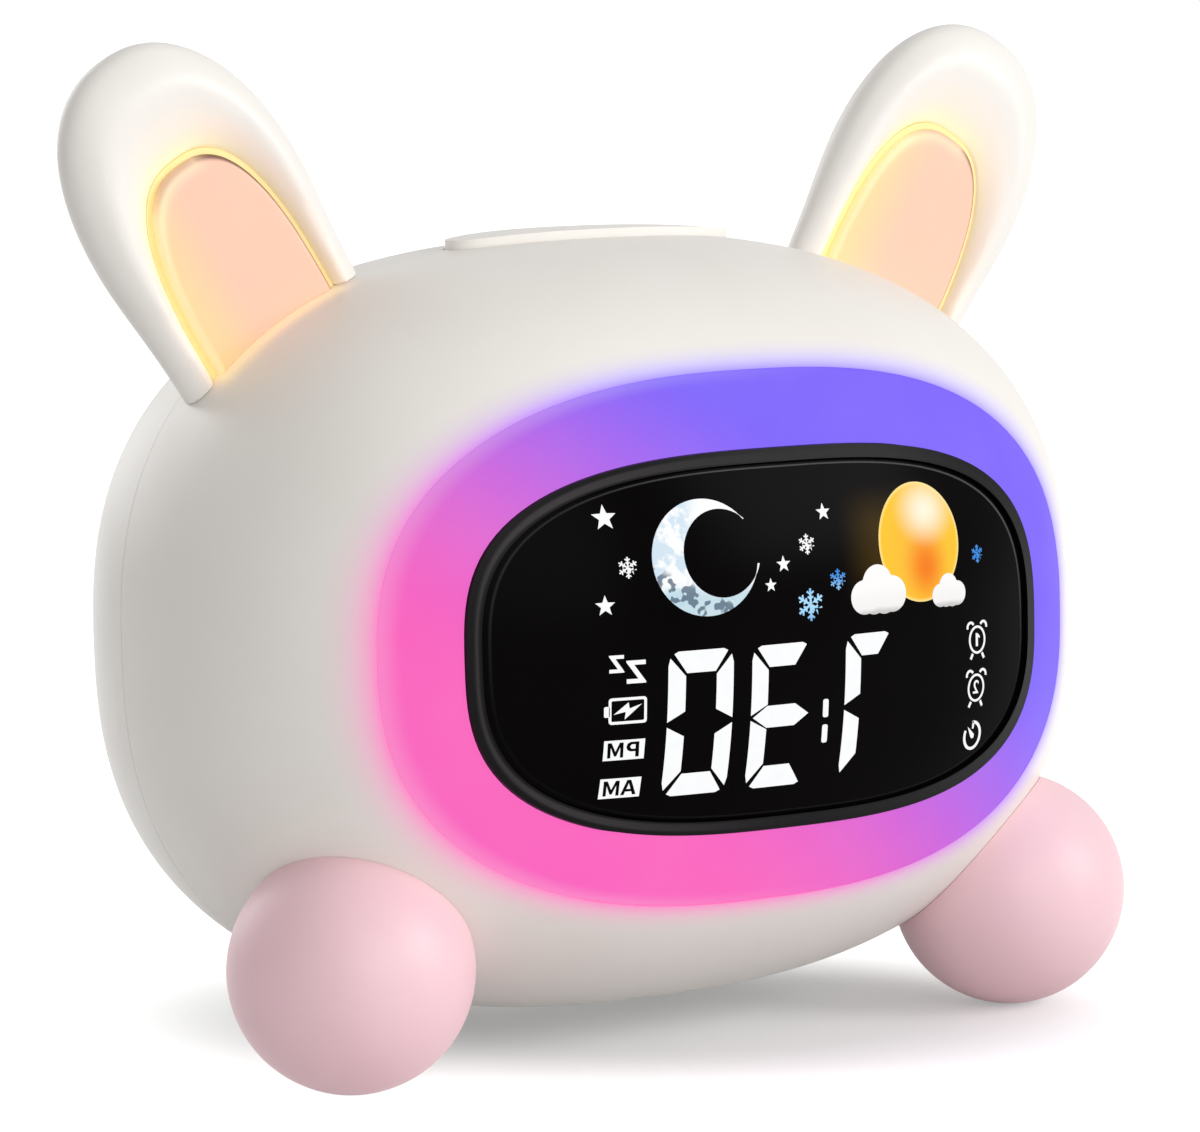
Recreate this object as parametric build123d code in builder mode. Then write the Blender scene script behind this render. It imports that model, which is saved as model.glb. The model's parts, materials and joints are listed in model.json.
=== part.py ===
from build123d import *
import os
from functools import cache
from math import atan2, copysign, cos, degrees, pi, radians, sin

# A child's alarm clock and night light with a rounded head, two lit ears, a lit ring
# round the display, two ball feet in front and two rubber feet behind.
# Millimetres. The clock stands on Z = 0 and faces -Y; +X is on the right seen from the front.

# ---- Head ----
head_half_width = 76.0
head_half_height = 56.7
front_depth = 54.1  # widest section to the front pole
rear_depth = 52.8  # widest section to the rear pole
head_roundness = 2.5  # exponent of the outline seen from the front
dome_roundness = 2.3  # exponent of the outline seen from the side
head_lean = 3.0  # degrees that the face looks up
shell_wall = 2.6
seam_setback = 5.0  # seam between the shells, behind the widest section
seam_gap = 0.1
lip_wall = 1.3  # inner lip that centres the rear shell
lip_length = 2.6
lip_root = 4.0

# ---- Face: light ring, bezel, lens ----
ring_half_width = 59.0
ring_half_height = 37.8
ring_roundness = 2.5
ring_wall = 2.4
ring_edge_width = 2.0
ring_flange_width = 2.0
ring_flange_wall = 1.6
bezel_half_width = 48.9
bezel_half_height = 27.0
bezel_roundness = 2.9
bezel_rim = 1.9
bezel_proud = 0.4
bezel_lip_width = 2.0
bezel_lip_wall = 1.6
lens_wall = 2.2
lens_setback = 0.2
face_gap = 0.1  # between neighbouring pieces of the face

# ---- Light carrier and display ----
carrier_plate = 2.0
carrier_depth_behind_lens = 17.6  # lens back at its side edge to the carrier's front
carrier_wall = 1.6
carrier_ear_places = [(38.0, 39.0), (-38.0, 39.0), (-38.0, -39.0), (38.0, -39.0)]
carrier_ear_radius = 4.0
carrier_ear_reach = 10.0
wire_slot_half_width = 12.0
wire_slot_half_height = 5.0
board_wall = 1.6
led_size = 3.5
led_height = 1.5
ring_led_count = 20
ring_board_margin = 2.5
ring_board_gap = 0.6
ring_boss_end = 1.0
display_post_height = 5.0
display_post_radius = 2.6
display_post_places = [(39.5, 6.0), (-39.5, 6.0), (-39.5, -6.0), (39.5, -6.0)]
display_gap = 1.6  # film to the lens back at the side edge
display_margin = 0.6  # display block inside the bezel's lip
film_wall = 0.3
small_led_width = 1.6
small_led_depth = 0.8
small_led_height = 0.7

# Segment wells of the display block
digit_height = 19.4
digit_width = 10.0
digit_level = -10.2
digit_pitch = 13.0
digit_group_centre = 5.0  # colon's place, between the two pairs of digits
digit_offset = 7.7  # colon to the nearest digit's centre
segment_width = 2.0
segment_end_gap = 0.4
colon_height = 2.4
colon_half_pitch = 1.9
picture_radius = 7.9
moon_place = (-14.5, 12.2)
sun_place = (23.6, 12.2)
icon_half_width = 2.4
icon_half_height = 1.3
left_icon_column = -27.4
right_icon_column = 34.4
left_icon_levels = [-2.2, -7.4, -12.8, -17.6]
right_icon_levels = [-2.7, -9.2, -15.4]

# ---- Ears ----
ear_angle = 49.4  # degrees from straight up to the ear's root, round the head
ear_lean = 31.2
ear_setback = 0.5
ear_length = 45.4
ear_arch_rise = 27.2  # height of the rounded end
ear_half_width = 17.8
ear_root_half_width = 16.6
ear_half_thickness = 7.0
ear_root_half_thickness = 5.0
ear_full_thickness_height = 20.0
ear_roundness = 2.26
ear_section_roundness = 2.3
ear_tip_shift = 1.2
ear_root_depth = 10.0
panel_half_width = 11.0
panel_height = 27.1
panel_arch_rise = 25.4
panel_roundness = 2.6
panel_wall = 1.4
panel_edge = 0.9  # rounding of the panel's front edge
panel_front = 3.0  # in front of the ear's middle plane
halo_width = 0.9  # lit edge of the light guide round the panel
guide_wall = 1.6
recess_spread = 2.8
recess_rise = 8.5
rim_share = 0.66  # height of the rim in front of the middle plane, of the half thickness
recess_curve = 1.7  # above 1 the hollow's wall rolls over towards the rim
recess_flare = 3.5  # how fast the hollow opens beyond the rim
rim_rounding = 0.8
ear_led_inset = 2.5
ear_board_wall = 1.2
ear_led_gap = 0.2
ear_led_height = 0.8
ear_led_size = 2.8
ear_led_spread = 8.0
ear_led_levels = [5.0, 12.0, 19.0]
ear_part_gap = 0.05
ear_wire_radius = 1.4

# ---- Feet ----
ball_radius = 17.5
ball_wall = 2.2
ball_angle_out = 53.8  # degrees from straight down, seen from the front
ball_angle_forward = 18.9
ball_standoff = 5.7  # ball centre outside the head's surface
ball_boss_radius = 4.2
ball_boss_depth = 7.0  # boss runs past the ball's centre by this
ball_seat_gap = 0.05
rear_foot_spread = 48.0
rear_foot_setback = 20.0
rear_foot_radius = 5.2
rear_foot_wall = 2.6
rear_foot_exposed = 1.6
rear_foot_collar = 1.4
rear_foot_gap = 0.1
rear_foot_chamfer = 0.4

# ---- Top button ----
button_half_length = 24.0
button_half_depth = 5.9
button_roundness = 2.6
button_setback = -2.6
button_proud = 1.3
button_gap = 0.3
button_flange = 1.5
button_flange_wall = 1.5
button_side_wall = 1.6
button_top_wall = 2.2
button_travel = 1.0
stem_radius = 2.5
stem_reach = 3.0  # stem below the flange
stop_gap = 0.15
switch_size = 6.0
switch_body = 3.5
plunger_radius = 1.7
plunger_height = 0.8
top_board_half_length = 33.0
top_board_half_depth = 4.6
top_post_spread = 60.0

# ---- Rear panel, keys, socket, speaker ----
rear_panel_half_width = 36.0
rear_panel_half_height = 20.0
rear_panel_roundness = 3.0
rear_panel_wall = 1.6
rear_panel_gap = 0.2
rear_panel_setback = 0.3
pocket_wall = 2.2
pocket_floor = 2.0
key_names = ["time_set_key", "alarm_set_key", "sleep_timer_key", "down_key", "volume_key", "up_key"]
key_columns = [-27.0, -14.5, -2.0]  # seen from the front; the rear view swaps left and right
key_levels = [7.5, -3.5]
key_radius = 4.0
key_gap = 0.3
key_proud = 1.2
key_flange = 1.2
key_flange_wall = 1.3
key_travel = 0.6
key_crown = 0.4
main_board_half_width = 20.0
main_board_half_height = 17.0
main_board_centre = -14.5
board_post_radius = 2.6
board_post_inset = 2.6
socket_half_width = 4.47
socket_half_height = 1.63
socket_wall = 0.35
socket_setback = 1.1
socket_tongue_half_width = 3.3
socket_tongue_half_height = 0.35
socket_tongue_length = 6.0
socket_mouth_depth = 7.2
socket_gap = 0.35
socket_place = (-14.5, -12.0)
speaker_place = (20.0, 0.0)
speaker_radius = 14.0
speaker_flange_wall = 1.5
speaker_basket_depth = 6.0
speaker_basket_wall = 0.8
speaker_cone_radius = 11.5
speaker_cone_wall = 0.6
speaker_coil_radius = 5.0
speaker_magnet_radius = 9.0
speaker_magnet_depth = 4.5
speaker_hole_radius = 0.9
speaker_ring_radii = [3.2, 6.4, 9.6]
speaker_ring_counts = [6, 12, 18]
speaker_rim_wall = 1.4
speaker_surround = 0.8
speaker_cone_depth = 3.8
speaker_dome_rise = 0.6

# ---- Battery ----
cell_radius = 9.2
cell_length = 65.0
cell_edge = 0.6
cell_level = -24.0
cell_setback = 18.0
cradle_wall = 1.8
cradle_gap = 0.3
cradle_end_wall = 1.8
cradle_base = 3.4
cradle_post_spread = 44.0
cradle_post_radius = 4.0

# ---- Screws ----
screw_shank = 1.4
screw_head = 2.6
screw_head_wall = 1.8
shell_screw_length = 30.0
screw_gap = 0.05
screw_end_gap = 0.2  # hole's end beyond the screw's end
clear_hole_gap = 0.2  # round a shank that passes through
head_gap = 0.3
post_wall = 2.2
small_post_wall = 1.8
seat_margin = 1.2  # boss round a screw's head
shell_screw_places = [(64.0, 18.0), (-64.0, 18.0), (-64.0, -18.0), (64.0, -18.0)]
shell_screw_seat = 22.0  # seat of the head, behind the widest section
small_shank = 1.0
small_head = 2.0
small_head_wall = 1.3
small_length = 7.0
display_screw_length = 12.6
ear_screw_length = 16.0
ear_screw_seat = 8.0  # head's seat below the head's surface
foot_screw_length = 16.0
foot_screw_seat = 6.0
recess_cut = 0.8
recess_width = 0.6

# ---- Curve sampling ----
outline_points = 48
arch_points = 24
dome_steps = [-88, -80, -70, -60, -50, -40, -30, -20, -10, 0, 10, 20, 30, 40, 50, 60, 70, 80, 88]
ear_levels = [0.15, 0.3, 0.45, 0.6, 0.72, 0.82, 0.89, 0.94, 0.975, 0.993, 0.9995]  # of the arch's rise
recess_steps = [0, 0.25, 0.5, 0.72, 0.88, 1.2, 2.2]  # shares of the recess's depth


def signed_power(value, power):
    return copysign(abs(value) ** power, value)


def head_share(x, up, inset=0):
    """How far out a point lies in the head's outline: 0 in the middle, 1 on the outline."""
    across = (abs(x) / (head_half_width - inset)) ** head_roundness
    along = (abs(up) / (head_half_height - inset)) ** head_roundness
    return (across + along) ** (1 / head_roundness)


def dome_depth(x, up, pole_depth, inset=0):
    """Depth of the front or rear dome at a point of the face."""
    share = head_share(x, up, inset)
    return (pole_depth - inset) * (1 - share**dome_roundness) ** (1 / dome_roundness)


# The face plane: x to the right, y up along the leaned head, z forward.
# The head's height puts the ball feet on Z = 0, and its place centres the clock in Y.
face_forward = (0, -cos(radians(head_lean)), sin(radians(head_lean)))
LEVEL_FACE = Plane(origin=(0, 0, 0), x_dir=(1, 0, 0), z_dir=face_forward)


def ball_seat():
    """Point on the head under a ball foot and the outward normal there, right side."""
    out, forward = radians(ball_angle_out), radians(ball_angle_forward)
    x, up, ahead = sin(out) * cos(forward), -cos(out) * cos(forward), sin(forward)
    share = head_share(x, up) ** dome_roundness + (ahead / front_depth) ** dome_roundness
    reach = share ** (-1 / dome_roundness)
    x, up, ahead = x * reach, up * reach, ahead * reach
    scale = head_share(x, up) ** (dome_roundness - head_roundness)
    normal = Vector(
        scale * signed_power(x / head_half_width, head_roundness - 1) / head_half_width,
        scale * signed_power(up / head_half_height, head_roundness - 1) / head_half_height,
        signed_power(ahead / front_depth, dome_roundness - 1) / front_depth,
    )
    return Vector(x, up, ahead), normal.normalized()


seat_point, seat_normal = ball_seat()
ball_drop = LEVEL_FACE.from_local_coords(seat_point + seat_normal * ball_standoff).Z
head_height = ball_radius - ball_drop
rear_reach = dome_depth(0, rear_panel_half_height, rear_depth)
head_place = (front_depth - rear_reach) / 2
FACE = Plane(origin=(0, head_place, head_height), x_dir=(1, 0, 0), z_dir=face_forward)
CROWN = Plane(origin=FACE.origin, x_dir=(1, 0, 0), z_dir=FACE.y_dir)  # x right, y rearward, z up


os.makedirs("parts", exist_ok=True)


# ---- Outlines and forms ----
def superellipse(half_width, half_height, roundness, centre=(0, 0)):
    turns = [2 * pi * step / outline_points for step in range(outline_points)]
    power = 2 / roundness
    return [
        (
            centre[0] + half_width * signed_power(cos(turn), power),
            centre[1] + half_height * signed_power(sin(turn), power),
        )
        for turn in turns
    ]


def rounded_face(half_width, half_height, roundness, centre=(0, 0)):
    """Fills a rounded outline in the sketch that is open."""
    with BuildLine() as outline:
        Spline(*superellipse(half_width, half_height, roundness, centre), periodic=True)
    make_face(outline.edges())


def arch_face(half_width, height, rise, roundness, foot):
    """Fills an arch in the sketch that is open: straight sides from the foot, rounded top."""
    turns = [pi * step / arch_points for step in range(arch_points + 1)]
    power = 2 / roundness
    top = [
        (
            half_width * signed_power(cos(turn), power),
            height - rise + rise * abs(sin(turn)) ** power,
        )
        for turn in turns
    ]
    top[0] = (half_width, height - rise)
    top[-1] = (-half_width, height - rise)
    with BuildLine() as outline:
        Spline(*top, tangents=[(0, 1), (0, -1)])
        Polyline(top[-1], (-half_width, foot), (half_width, foot), top[0])
    make_face(outline.edges())


@cache
def head_form(inset):
    """The closed form of the head with every half size less by the inset."""
    with BuildPart() as form:
        for step in dome_steps:
            turn = radians(step)
            share = cos(turn) ** (2 / dome_roundness)
            depth = (front_depth if step > 0 else rear_depth) - inset
            forward = depth * signed_power(sin(turn), 2 / dome_roundness)
            with BuildSketch(FACE.offset(forward)):
                rounded_face(
                    (head_half_width - inset) * share,
                    (head_half_height - inset) * share,
                    head_roundness,
                )
        loft()
    return form.part


def face_block(half_width, half_height, roundness, back, front):
    """A block with a rounded outline, square to the face, between two depths."""
    with BuildPart() as block:
        with BuildSketch(FACE.offset(back)):
            rounded_face(half_width, half_height, roundness)
        extrude(amount=front - back)
    return block.part


def domed(block, inset):
    """The part of a block that lies inside the head's form at an inset."""
    with BuildPart() as trimmed:
        add(block)
        add(head_form(inset), mode=Mode.INTERSECT)
    return trimmed.part


def crown_block(half_width, half_depth, roundness, bottom, top):
    """A block with a rounded outline, upright in the head, at the top button's place."""
    with BuildPart() as block:
        with BuildSketch(CROWN.offset(bottom)):
            rounded_face(half_width, half_depth, roundness, (0, button_setback))
        extrude(amount=top - bottom)
    return block.part


def cylinders(plane, places, radius, length):
    """Equal cylinders that stand on a plane at the places given."""
    with BuildPart() as group:
        with BuildSketch(plane):
            with Locations(*places):
                Circle(radius)
        extrude(amount=length)
    return group.part


def wall_posts(plane, places, radius, length):
    """Posts that end inside the head's wall, whatever its shape there."""
    return domed(cylinders(plane, places, radius, length), shell_wall / 2)


def screws(plane, places, shank, head, head_wall, length):
    """Cross-head screws: the head stands on the plane and the shank goes below it."""
    with BuildPart() as group:
        with BuildSketch(plane):
            with Locations(*places):
                Circle(head)
        extrude(amount=head_wall)
        with BuildSketch(plane):
            with Locations(*places):
                Circle(shank)
        extrude(amount=-length)
        with BuildSketch(plane.offset(head_wall)):
            with Locations(*places):
                Rectangle(head, recess_width)
                Rectangle(recess_width, head)
        extrude(amount=-recess_cut, mode=Mode.SUBTRACT)
    return group.part


def finish(piece, name):
    """Labels a piece and writes it."""
    piece.label = name
    export_step(piece, f"parts/{name}.step")


# ---- Depths worked out from the driving dimensions ----
flange_front = shell_wall + face_gap
flange_back = flange_front + ring_flange_wall
lens_back = lens_setback + lens_wall
lip_back = lens_back + face_gap + bezel_lip_wall
lens_half_width = bezel_half_width - bezel_rim
lens_half_height = bezel_half_height - bezel_rim
window_half_width = lens_half_width - bezel_lip_width
window_half_height = lens_half_height - bezel_lip_width
lens_edge = dome_depth(window_half_width, 0, front_depth, lens_back)
carrier_front = lens_edge - carrier_depth_behind_lens
carrier_back = carrier_front - carrier_plate
carrier_half_width = ring_half_width + ring_flange_width
carrier_half_height = ring_half_height + ring_flange_width
ring_board_front = carrier_front + board_wall
display_board_back = carrier_front + display_post_height
display_board_front = display_board_back + board_wall
film_front = lens_edge - display_gap
display_front = film_front - film_wall
display_half_width = window_half_width - display_margin
display_half_height = window_half_height - display_margin
far = front_depth + rear_depth  # beyond the head on any side
shank_hole = screw_shank + screw_gap
small_hole = small_shank + screw_gap

panel_face = -dome_depth(rear_panel_half_width, 0, rear_depth) + rear_panel_setback
panel_back = panel_face + rear_panel_wall
floor_front = panel_back + pocket_floor
key_flange_back = floor_front + key_gap
key_front = key_flange_back + key_flange_wall
plunger_tip = key_front + key_travel + stop_gap
main_board_rear = plunger_tip + plunger_height + switch_body
main_board_front = main_board_rear + board_wall

button_inner = shell_wall + button_gap
stem_bottom = head_half_height - button_inner - button_flange_wall - stem_reach
top_plunger_tip = stem_bottom - button_travel - stop_gap
top_board_top = top_plunger_tip - plunger_height - switch_body
top_board_bottom = top_board_top - board_wall


# ---- Ears ----
def ear_plane(side):
    """The ear's middle plane: y along the ear, z forward. Side is 1 right, -1 left."""
    angle = radians(ear_angle)
    lean = radians(ear_lean)
    depth_share = (1 - (ear_setback / rear_depth) ** dome_roundness) ** (1 / dome_roundness)
    reach = depth_share / head_share(sin(angle), cos(angle))
    origin = FACE.from_local_coords((side * reach * sin(angle), reach * cos(angle), -ear_setback))
    across = FACE.x_dir * cos(lean) - FACE.y_dir * (side * sin(lean))
    return Plane(origin=origin, x_dir=across, z_dir=FACE.z_dir)


def ear_root_plane(side):
    """The plane square to the ear at its root: x across, y rearward, z along the ear."""
    middle = ear_plane(side)
    return Plane(origin=middle.origin, x_dir=middle.x_dir, z_dir=middle.y_dir)


def ear_sections():
    """Height, half width and half thickness of each section of the ear's outer form."""
    arch_foot = ear_length - ear_arch_rise
    root_taper = (ear_half_width - ear_root_half_width) / arch_foot
    sections = []
    for height in (-ear_root_depth, -ear_root_depth / 2, 0.0, arch_foot / 2, arch_foot):
        sections.append((height, ear_half_width - root_taper * (arch_foot - height), 1.0))
    for level in ear_levels:
        share = (1 - level**ear_roundness) ** (1 / ear_roundness)
        sections.append((arch_foot + ear_arch_rise * level, ear_half_width * share, share))
    gain = ear_half_thickness - ear_root_half_thickness
    return [
        (
            height,
            half_width,
            share * (ear_root_half_thickness + gain * min(1, max(0, height) / ear_full_thickness_height)),
        )
        for height, half_width, share in sections
    ]


def ear_outer(side):
    root = ear_root_plane(side)
    with BuildPart() as form:
        for height, half_width, half_thickness in ear_sections():
            shift = side * ear_tip_shift * (max(0, height) / ear_length) ** 2
            with BuildSketch(root.offset(height)):
                rounded_face(half_width, half_thickness, ear_section_roundness, (shift, 0))
        loft()
    return form.part


def ear_plate(side, growth, back, front):
    """A plate with the panel's outline, grown or shrunk, between two depths of the ear."""
    with BuildPart() as plate:
        with BuildSketch(ear_plane(side).offset(back)):
            arch_face(
                panel_half_width + growth,
                panel_height + growth,
                panel_arch_rise + growth,
                panel_roundness,
                -ear_root_depth,
            )
        extrude(amount=front - back)
    return plate.part


guide_front = panel_front - panel_wall
guide_back = guide_front - guide_wall
ear_led_front = guide_back - ear_led_gap
ear_board_front = ear_led_front - ear_led_height
ear_board_back = ear_board_front - ear_board_wall
recess_depth = ear_half_thickness * rim_share - guide_front


def ear_recess(side):
    """The dished hollow in front of the panel, wider and higher towards the front."""
    floor = panel_half_width + halo_width + ear_part_gap
    with BuildPart() as dish:
        for step in recess_steps:
            spread = 1 - (1 - step) ** (1 / recess_curve) if step < 1 else 1 + recess_flare * (step - 1)
            depth = guide_front + recess_depth * step
            with BuildSketch(ear_plane(side).offset(depth)):
                arch_face(
                    floor + recess_spread * spread,
                    panel_height + halo_width + ear_part_gap + recess_rise * spread,
                    panel_arch_rise + halo_width + ear_part_gap + recess_rise * spread,
                    panel_roundness,
                    -ear_root_depth,
                )
        loft()
    return dish.part


limb_offset = (ear_root_half_width + panel_half_width + halo_width) / 2
ear_screw_places = [(limb_offset, 0), (-limb_offset, 0)]
forward = Axis(FACE.origin, FACE.z_dir)


def ear_shell(side):
    with BuildPart() as shell:
        add(ear_outer(side))
        add(ear_recess(side), mode=Mode.SUBTRACT)
        fillet(shell.edges().sort_by(forward)[-1], rim_rounding)
        guide_growth = halo_width + ear_part_gap
        add(ear_plate(side, guide_growth, guide_back - ear_part_gap, guide_front), mode=Mode.SUBTRACT)
        board_growth = ear_part_gap - ear_led_inset
        pocket_back = ear_board_back - ear_part_gap
        add(ear_plate(side, board_growth, pocket_back, guide_back), mode=Mode.SUBTRACT)
        add(head_form(-ear_part_gap), mode=Mode.SUBTRACT)
        seat = ear_root_plane(side).offset(-ear_screw_seat)
        depth = ear_screw_length + stop_gap
        add(cylinders(seat, ear_screw_places, small_hole, depth), mode=Mode.SUBTRACT)
    return shell.part


def ear_panel(side):
    with BuildPart() as panel:
        add(ear_plate(side, 0, guide_front, panel_front))
        fillet(panel.faces().sort_by(forward)[-1].edges(), panel_edge)
        add(head_form(-ear_part_gap), mode=Mode.SUBTRACT)
    return panel.part


def ear_light_guide(side):
    with BuildPart() as guide:
        add(ear_plate(side, halo_width, guide_back, guide_front))
        add(head_form(-ear_part_gap), mode=Mode.SUBTRACT)
    return guide.part


def ear_led_board(side):
    with BuildPart() as board:
        add(ear_plate(side, -ear_led_inset, ear_board_back, ear_board_front))
        add(head_form(-ear_part_gap), mode=Mode.SUBTRACT)
    return board.part


def ear_leds(side):
    with BuildPart() as leds:
        with BuildSketch(ear_plane(side).offset(ear_board_front)):
            columns = (-ear_led_spread / 2, ear_led_spread / 2)
            with Locations(*[(x, level) for x in columns for level in ear_led_levels]):
                Rectangle(ear_led_size, ear_led_size)
        extrude(amount=ear_led_height)
    return leds.part


def ear_screw_set(side):
    # The heads lie inside the case, so the screws point the other way round.
    root = ear_root_plane(side)
    seat = Plane(origin=root.offset(-ear_screw_seat).origin, x_dir=root.x_dir, z_dir=-root.z_dir)
    return screws(seat, ear_screw_places, small_shank, small_head, small_head_wall, ear_screw_length)


# ---- Feet ----
def ball_plane(side):
    """Plane at the ball's centre that faces the head, x_dir kept level."""
    centre = seat_point + seat_normal * ball_standoff
    origin = FACE.from_local_coords((side * centre.X, centre.Y, centre.Z))
    tip = FACE.from_local_coords((side * seat_point.X, seat_point.Y, seat_point.Z))
    return Plane(origin=origin, z_dir=tip - origin)


def foot_ball(side):
    inward = ball_plane(side)
    centre = inward.origin
    with BuildPart() as ball:
        with Locations(centre):
            Sphere(ball_radius)
            Sphere(ball_radius - ball_wall, mode=Mode.SUBTRACT)
        boss_start = inward.offset(-ball_radius + ball_wall / 2)
        add(cylinders(boss_start, [(0, 0)], ball_boss_radius, 2 * ball_radius))
        with Locations(centre):
            Sphere(ball_radius, mode=Mode.INTERSECT)
        add(head_form(-ball_seat_gap), mode=Mode.SUBTRACT)
        pilot = cylinders(inward.offset(-ball_boss_depth), [(0, 0)], shank_hole, 2 * ball_radius)
        add(pilot, mode=Mode.SUBTRACT)
    return ball.part


def foot_screw(side):
    inward = ball_plane(side)
    seat = inward.offset(ball_standoff + foot_screw_seat)
    return screws(seat, [(0, 0)], screw_shank, screw_head, screw_head_wall, foot_screw_length)


rear_foot_places = [
    (side * rear_foot_spread / 2, head_place + rear_foot_setback) for side in (1, -1)
]


# ---- Places of screws and posts ----
shell_post_radius = screw_shank + post_wall
small_post_radius = small_shank + small_post_wall
top_post_places = [(side * top_post_spread / 2, button_setback) for side in (1, -1)]
cradle_post_places = [(side * cradle_post_spread / 2, cell_setback) for side in (1, -1)]
key_places = [(column, level) for level in key_levels for column in key_columns]
board_post_places = [
    (
        main_board_centre + across * (main_board_half_width - board_post_inset),
        along * (main_board_half_height - board_post_inset),
    )
    for across in (1, -1)
    for along in (1, -1)
]
cradle_bottom = cell_level - cell_radius - cradle_gap - cradle_base


# ---- Shells ----
# The inner lip of the front shell reaches behind the seam and centres the rear shell.
with BuildPart() as seam_lip:
    add(head_form(shell_wall + seam_gap))
    split(bisect_by=FACE.offset(-seam_setback - lip_length), keep=Keep.TOP)
    split(bisect_by=FACE.offset(lip_root - seam_setback), keep=Keep.BOTTOM)

# Room in front of the lip, and through the lip where the top button moves
with BuildPart() as front_room:
    with BuildSketch(FACE.offset(lip_root - seam_setback)):
        Rectangle(2 * far, 2 * far)
    extrude(amount=far)
    clear = button_flange + 2 * button_gap
    add(crown_block(button_half_length + clear, button_half_depth + clear, button_roundness, 0, far))
    add(head_form(shell_wall), mode=Mode.INTERSECT)

with BuildPart() as front_shell:
    add(head_form(0))
    split(bisect_by=FACE.offset(-seam_setback), keep=Keep.TOP)
    add(seam_lip.part)
    add(head_form(shell_wall + lip_wall), mode=Mode.SUBTRACT)
    add(front_room.part, mode=Mode.SUBTRACT)
    add(wall_posts(FACE.offset(-seam_setback), shell_screw_places, shell_post_radius, front_depth))
    add(wall_posts(FACE.offset(carrier_front), carrier_ear_places, small_post_radius, front_depth))
    add(wall_posts(CROWN.offset(top_board_top), top_post_places, small_post_radius, head_half_height))
    for side in (1, -1):
        ear_seat = ear_root_plane(side).offset(-ear_screw_seat)
        add(wall_posts(ear_seat, ear_screw_places, small_head + seat_margin, ear_length))
        ball_spot = ball_plane(side).offset(ball_standoff)
        add(wall_posts(ball_spot, [(0, 0)], screw_head + seat_margin, foot_screw_seat))
    opening = (ring_half_width + face_gap, ring_half_height + face_gap, ring_roundness)
    add(face_block(*opening, 0, far), mode=Mode.SUBTRACT)
    opening = (button_half_length + button_gap, button_half_depth + button_gap, button_roundness)
    add(crown_block(*opening, 0, far), mode=Mode.SUBTRACT)
    depth = shell_screw_length - shell_screw_seat + seam_setback + screw_end_gap
    add(cylinders(FACE.offset(-seam_setback), shell_screw_places, shank_hole, depth), mode=Mode.SUBTRACT)
    depth = small_length - carrier_plate + screw_end_gap
    add(cylinders(FACE.offset(carrier_front), carrier_ear_places, small_hole, depth), mode=Mode.SUBTRACT)
    depth = small_length - board_wall + screw_end_gap
    add(cylinders(CROWN.offset(top_board_top), top_post_places, small_hole, depth), mode=Mode.SUBTRACT)
    for side in (1, -1):
        ear_seat = ear_root_plane(side).offset(-ear_screw_seat)
        add(cylinders(ear_seat, ear_screw_places, small_hole, ear_screw_length), mode=Mode.SUBTRACT)
        wires = [(0, (-ear_board_back - guide_front) / 2)]
        add(cylinders(ear_seat, wires, ear_wire_radius, ear_screw_length), mode=Mode.SUBTRACT)
        add(cylinders(ball_plane(side), [(0, 0)], shank_hole, 2 * ball_radius), mode=Mode.SUBTRACT)
finish(front_shell.part, "front_shell")


def rear_panel_cut(growth):
    return (
        rear_panel_half_width + growth,
        rear_panel_half_height + growth,
        rear_panel_roundness,
    )


def panel_holes(front, back):
    """Holes for the keys, the charging socket and the speaker's sound."""
    with BuildPart() as holes:
        with BuildSketch(FACE.offset(front)):
            with Locations(*key_places):
                Circle(key_radius + key_gap)
            with Locations(socket_place):
                width = 2 * (socket_half_width + socket_gap)
                height = 2 * (socket_half_height + socket_gap)
                RectangleRounded(width, height, socket_half_height)
            with Locations(speaker_place):
                Circle(speaker_hole_radius)
                for radius, count in zip(speaker_ring_radii, speaker_ring_counts):
                    with PolarLocations(radius, count):
                        Circle(speaker_hole_radius)
        extrude(amount=back - front)
    return holes.part


with BuildPart() as rear_foot_bosses:
    collar = rear_foot_radius + rear_foot_gap + rear_foot_collar
    boss_plane = Plane.XY.offset(rear_foot_exposed)
    add(cylinders(boss_plane, rear_foot_places, collar, head_height - rear_foot_exposed))
    add(head_form(shell_wall / 2), mode=Mode.SUBTRACT)

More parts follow.
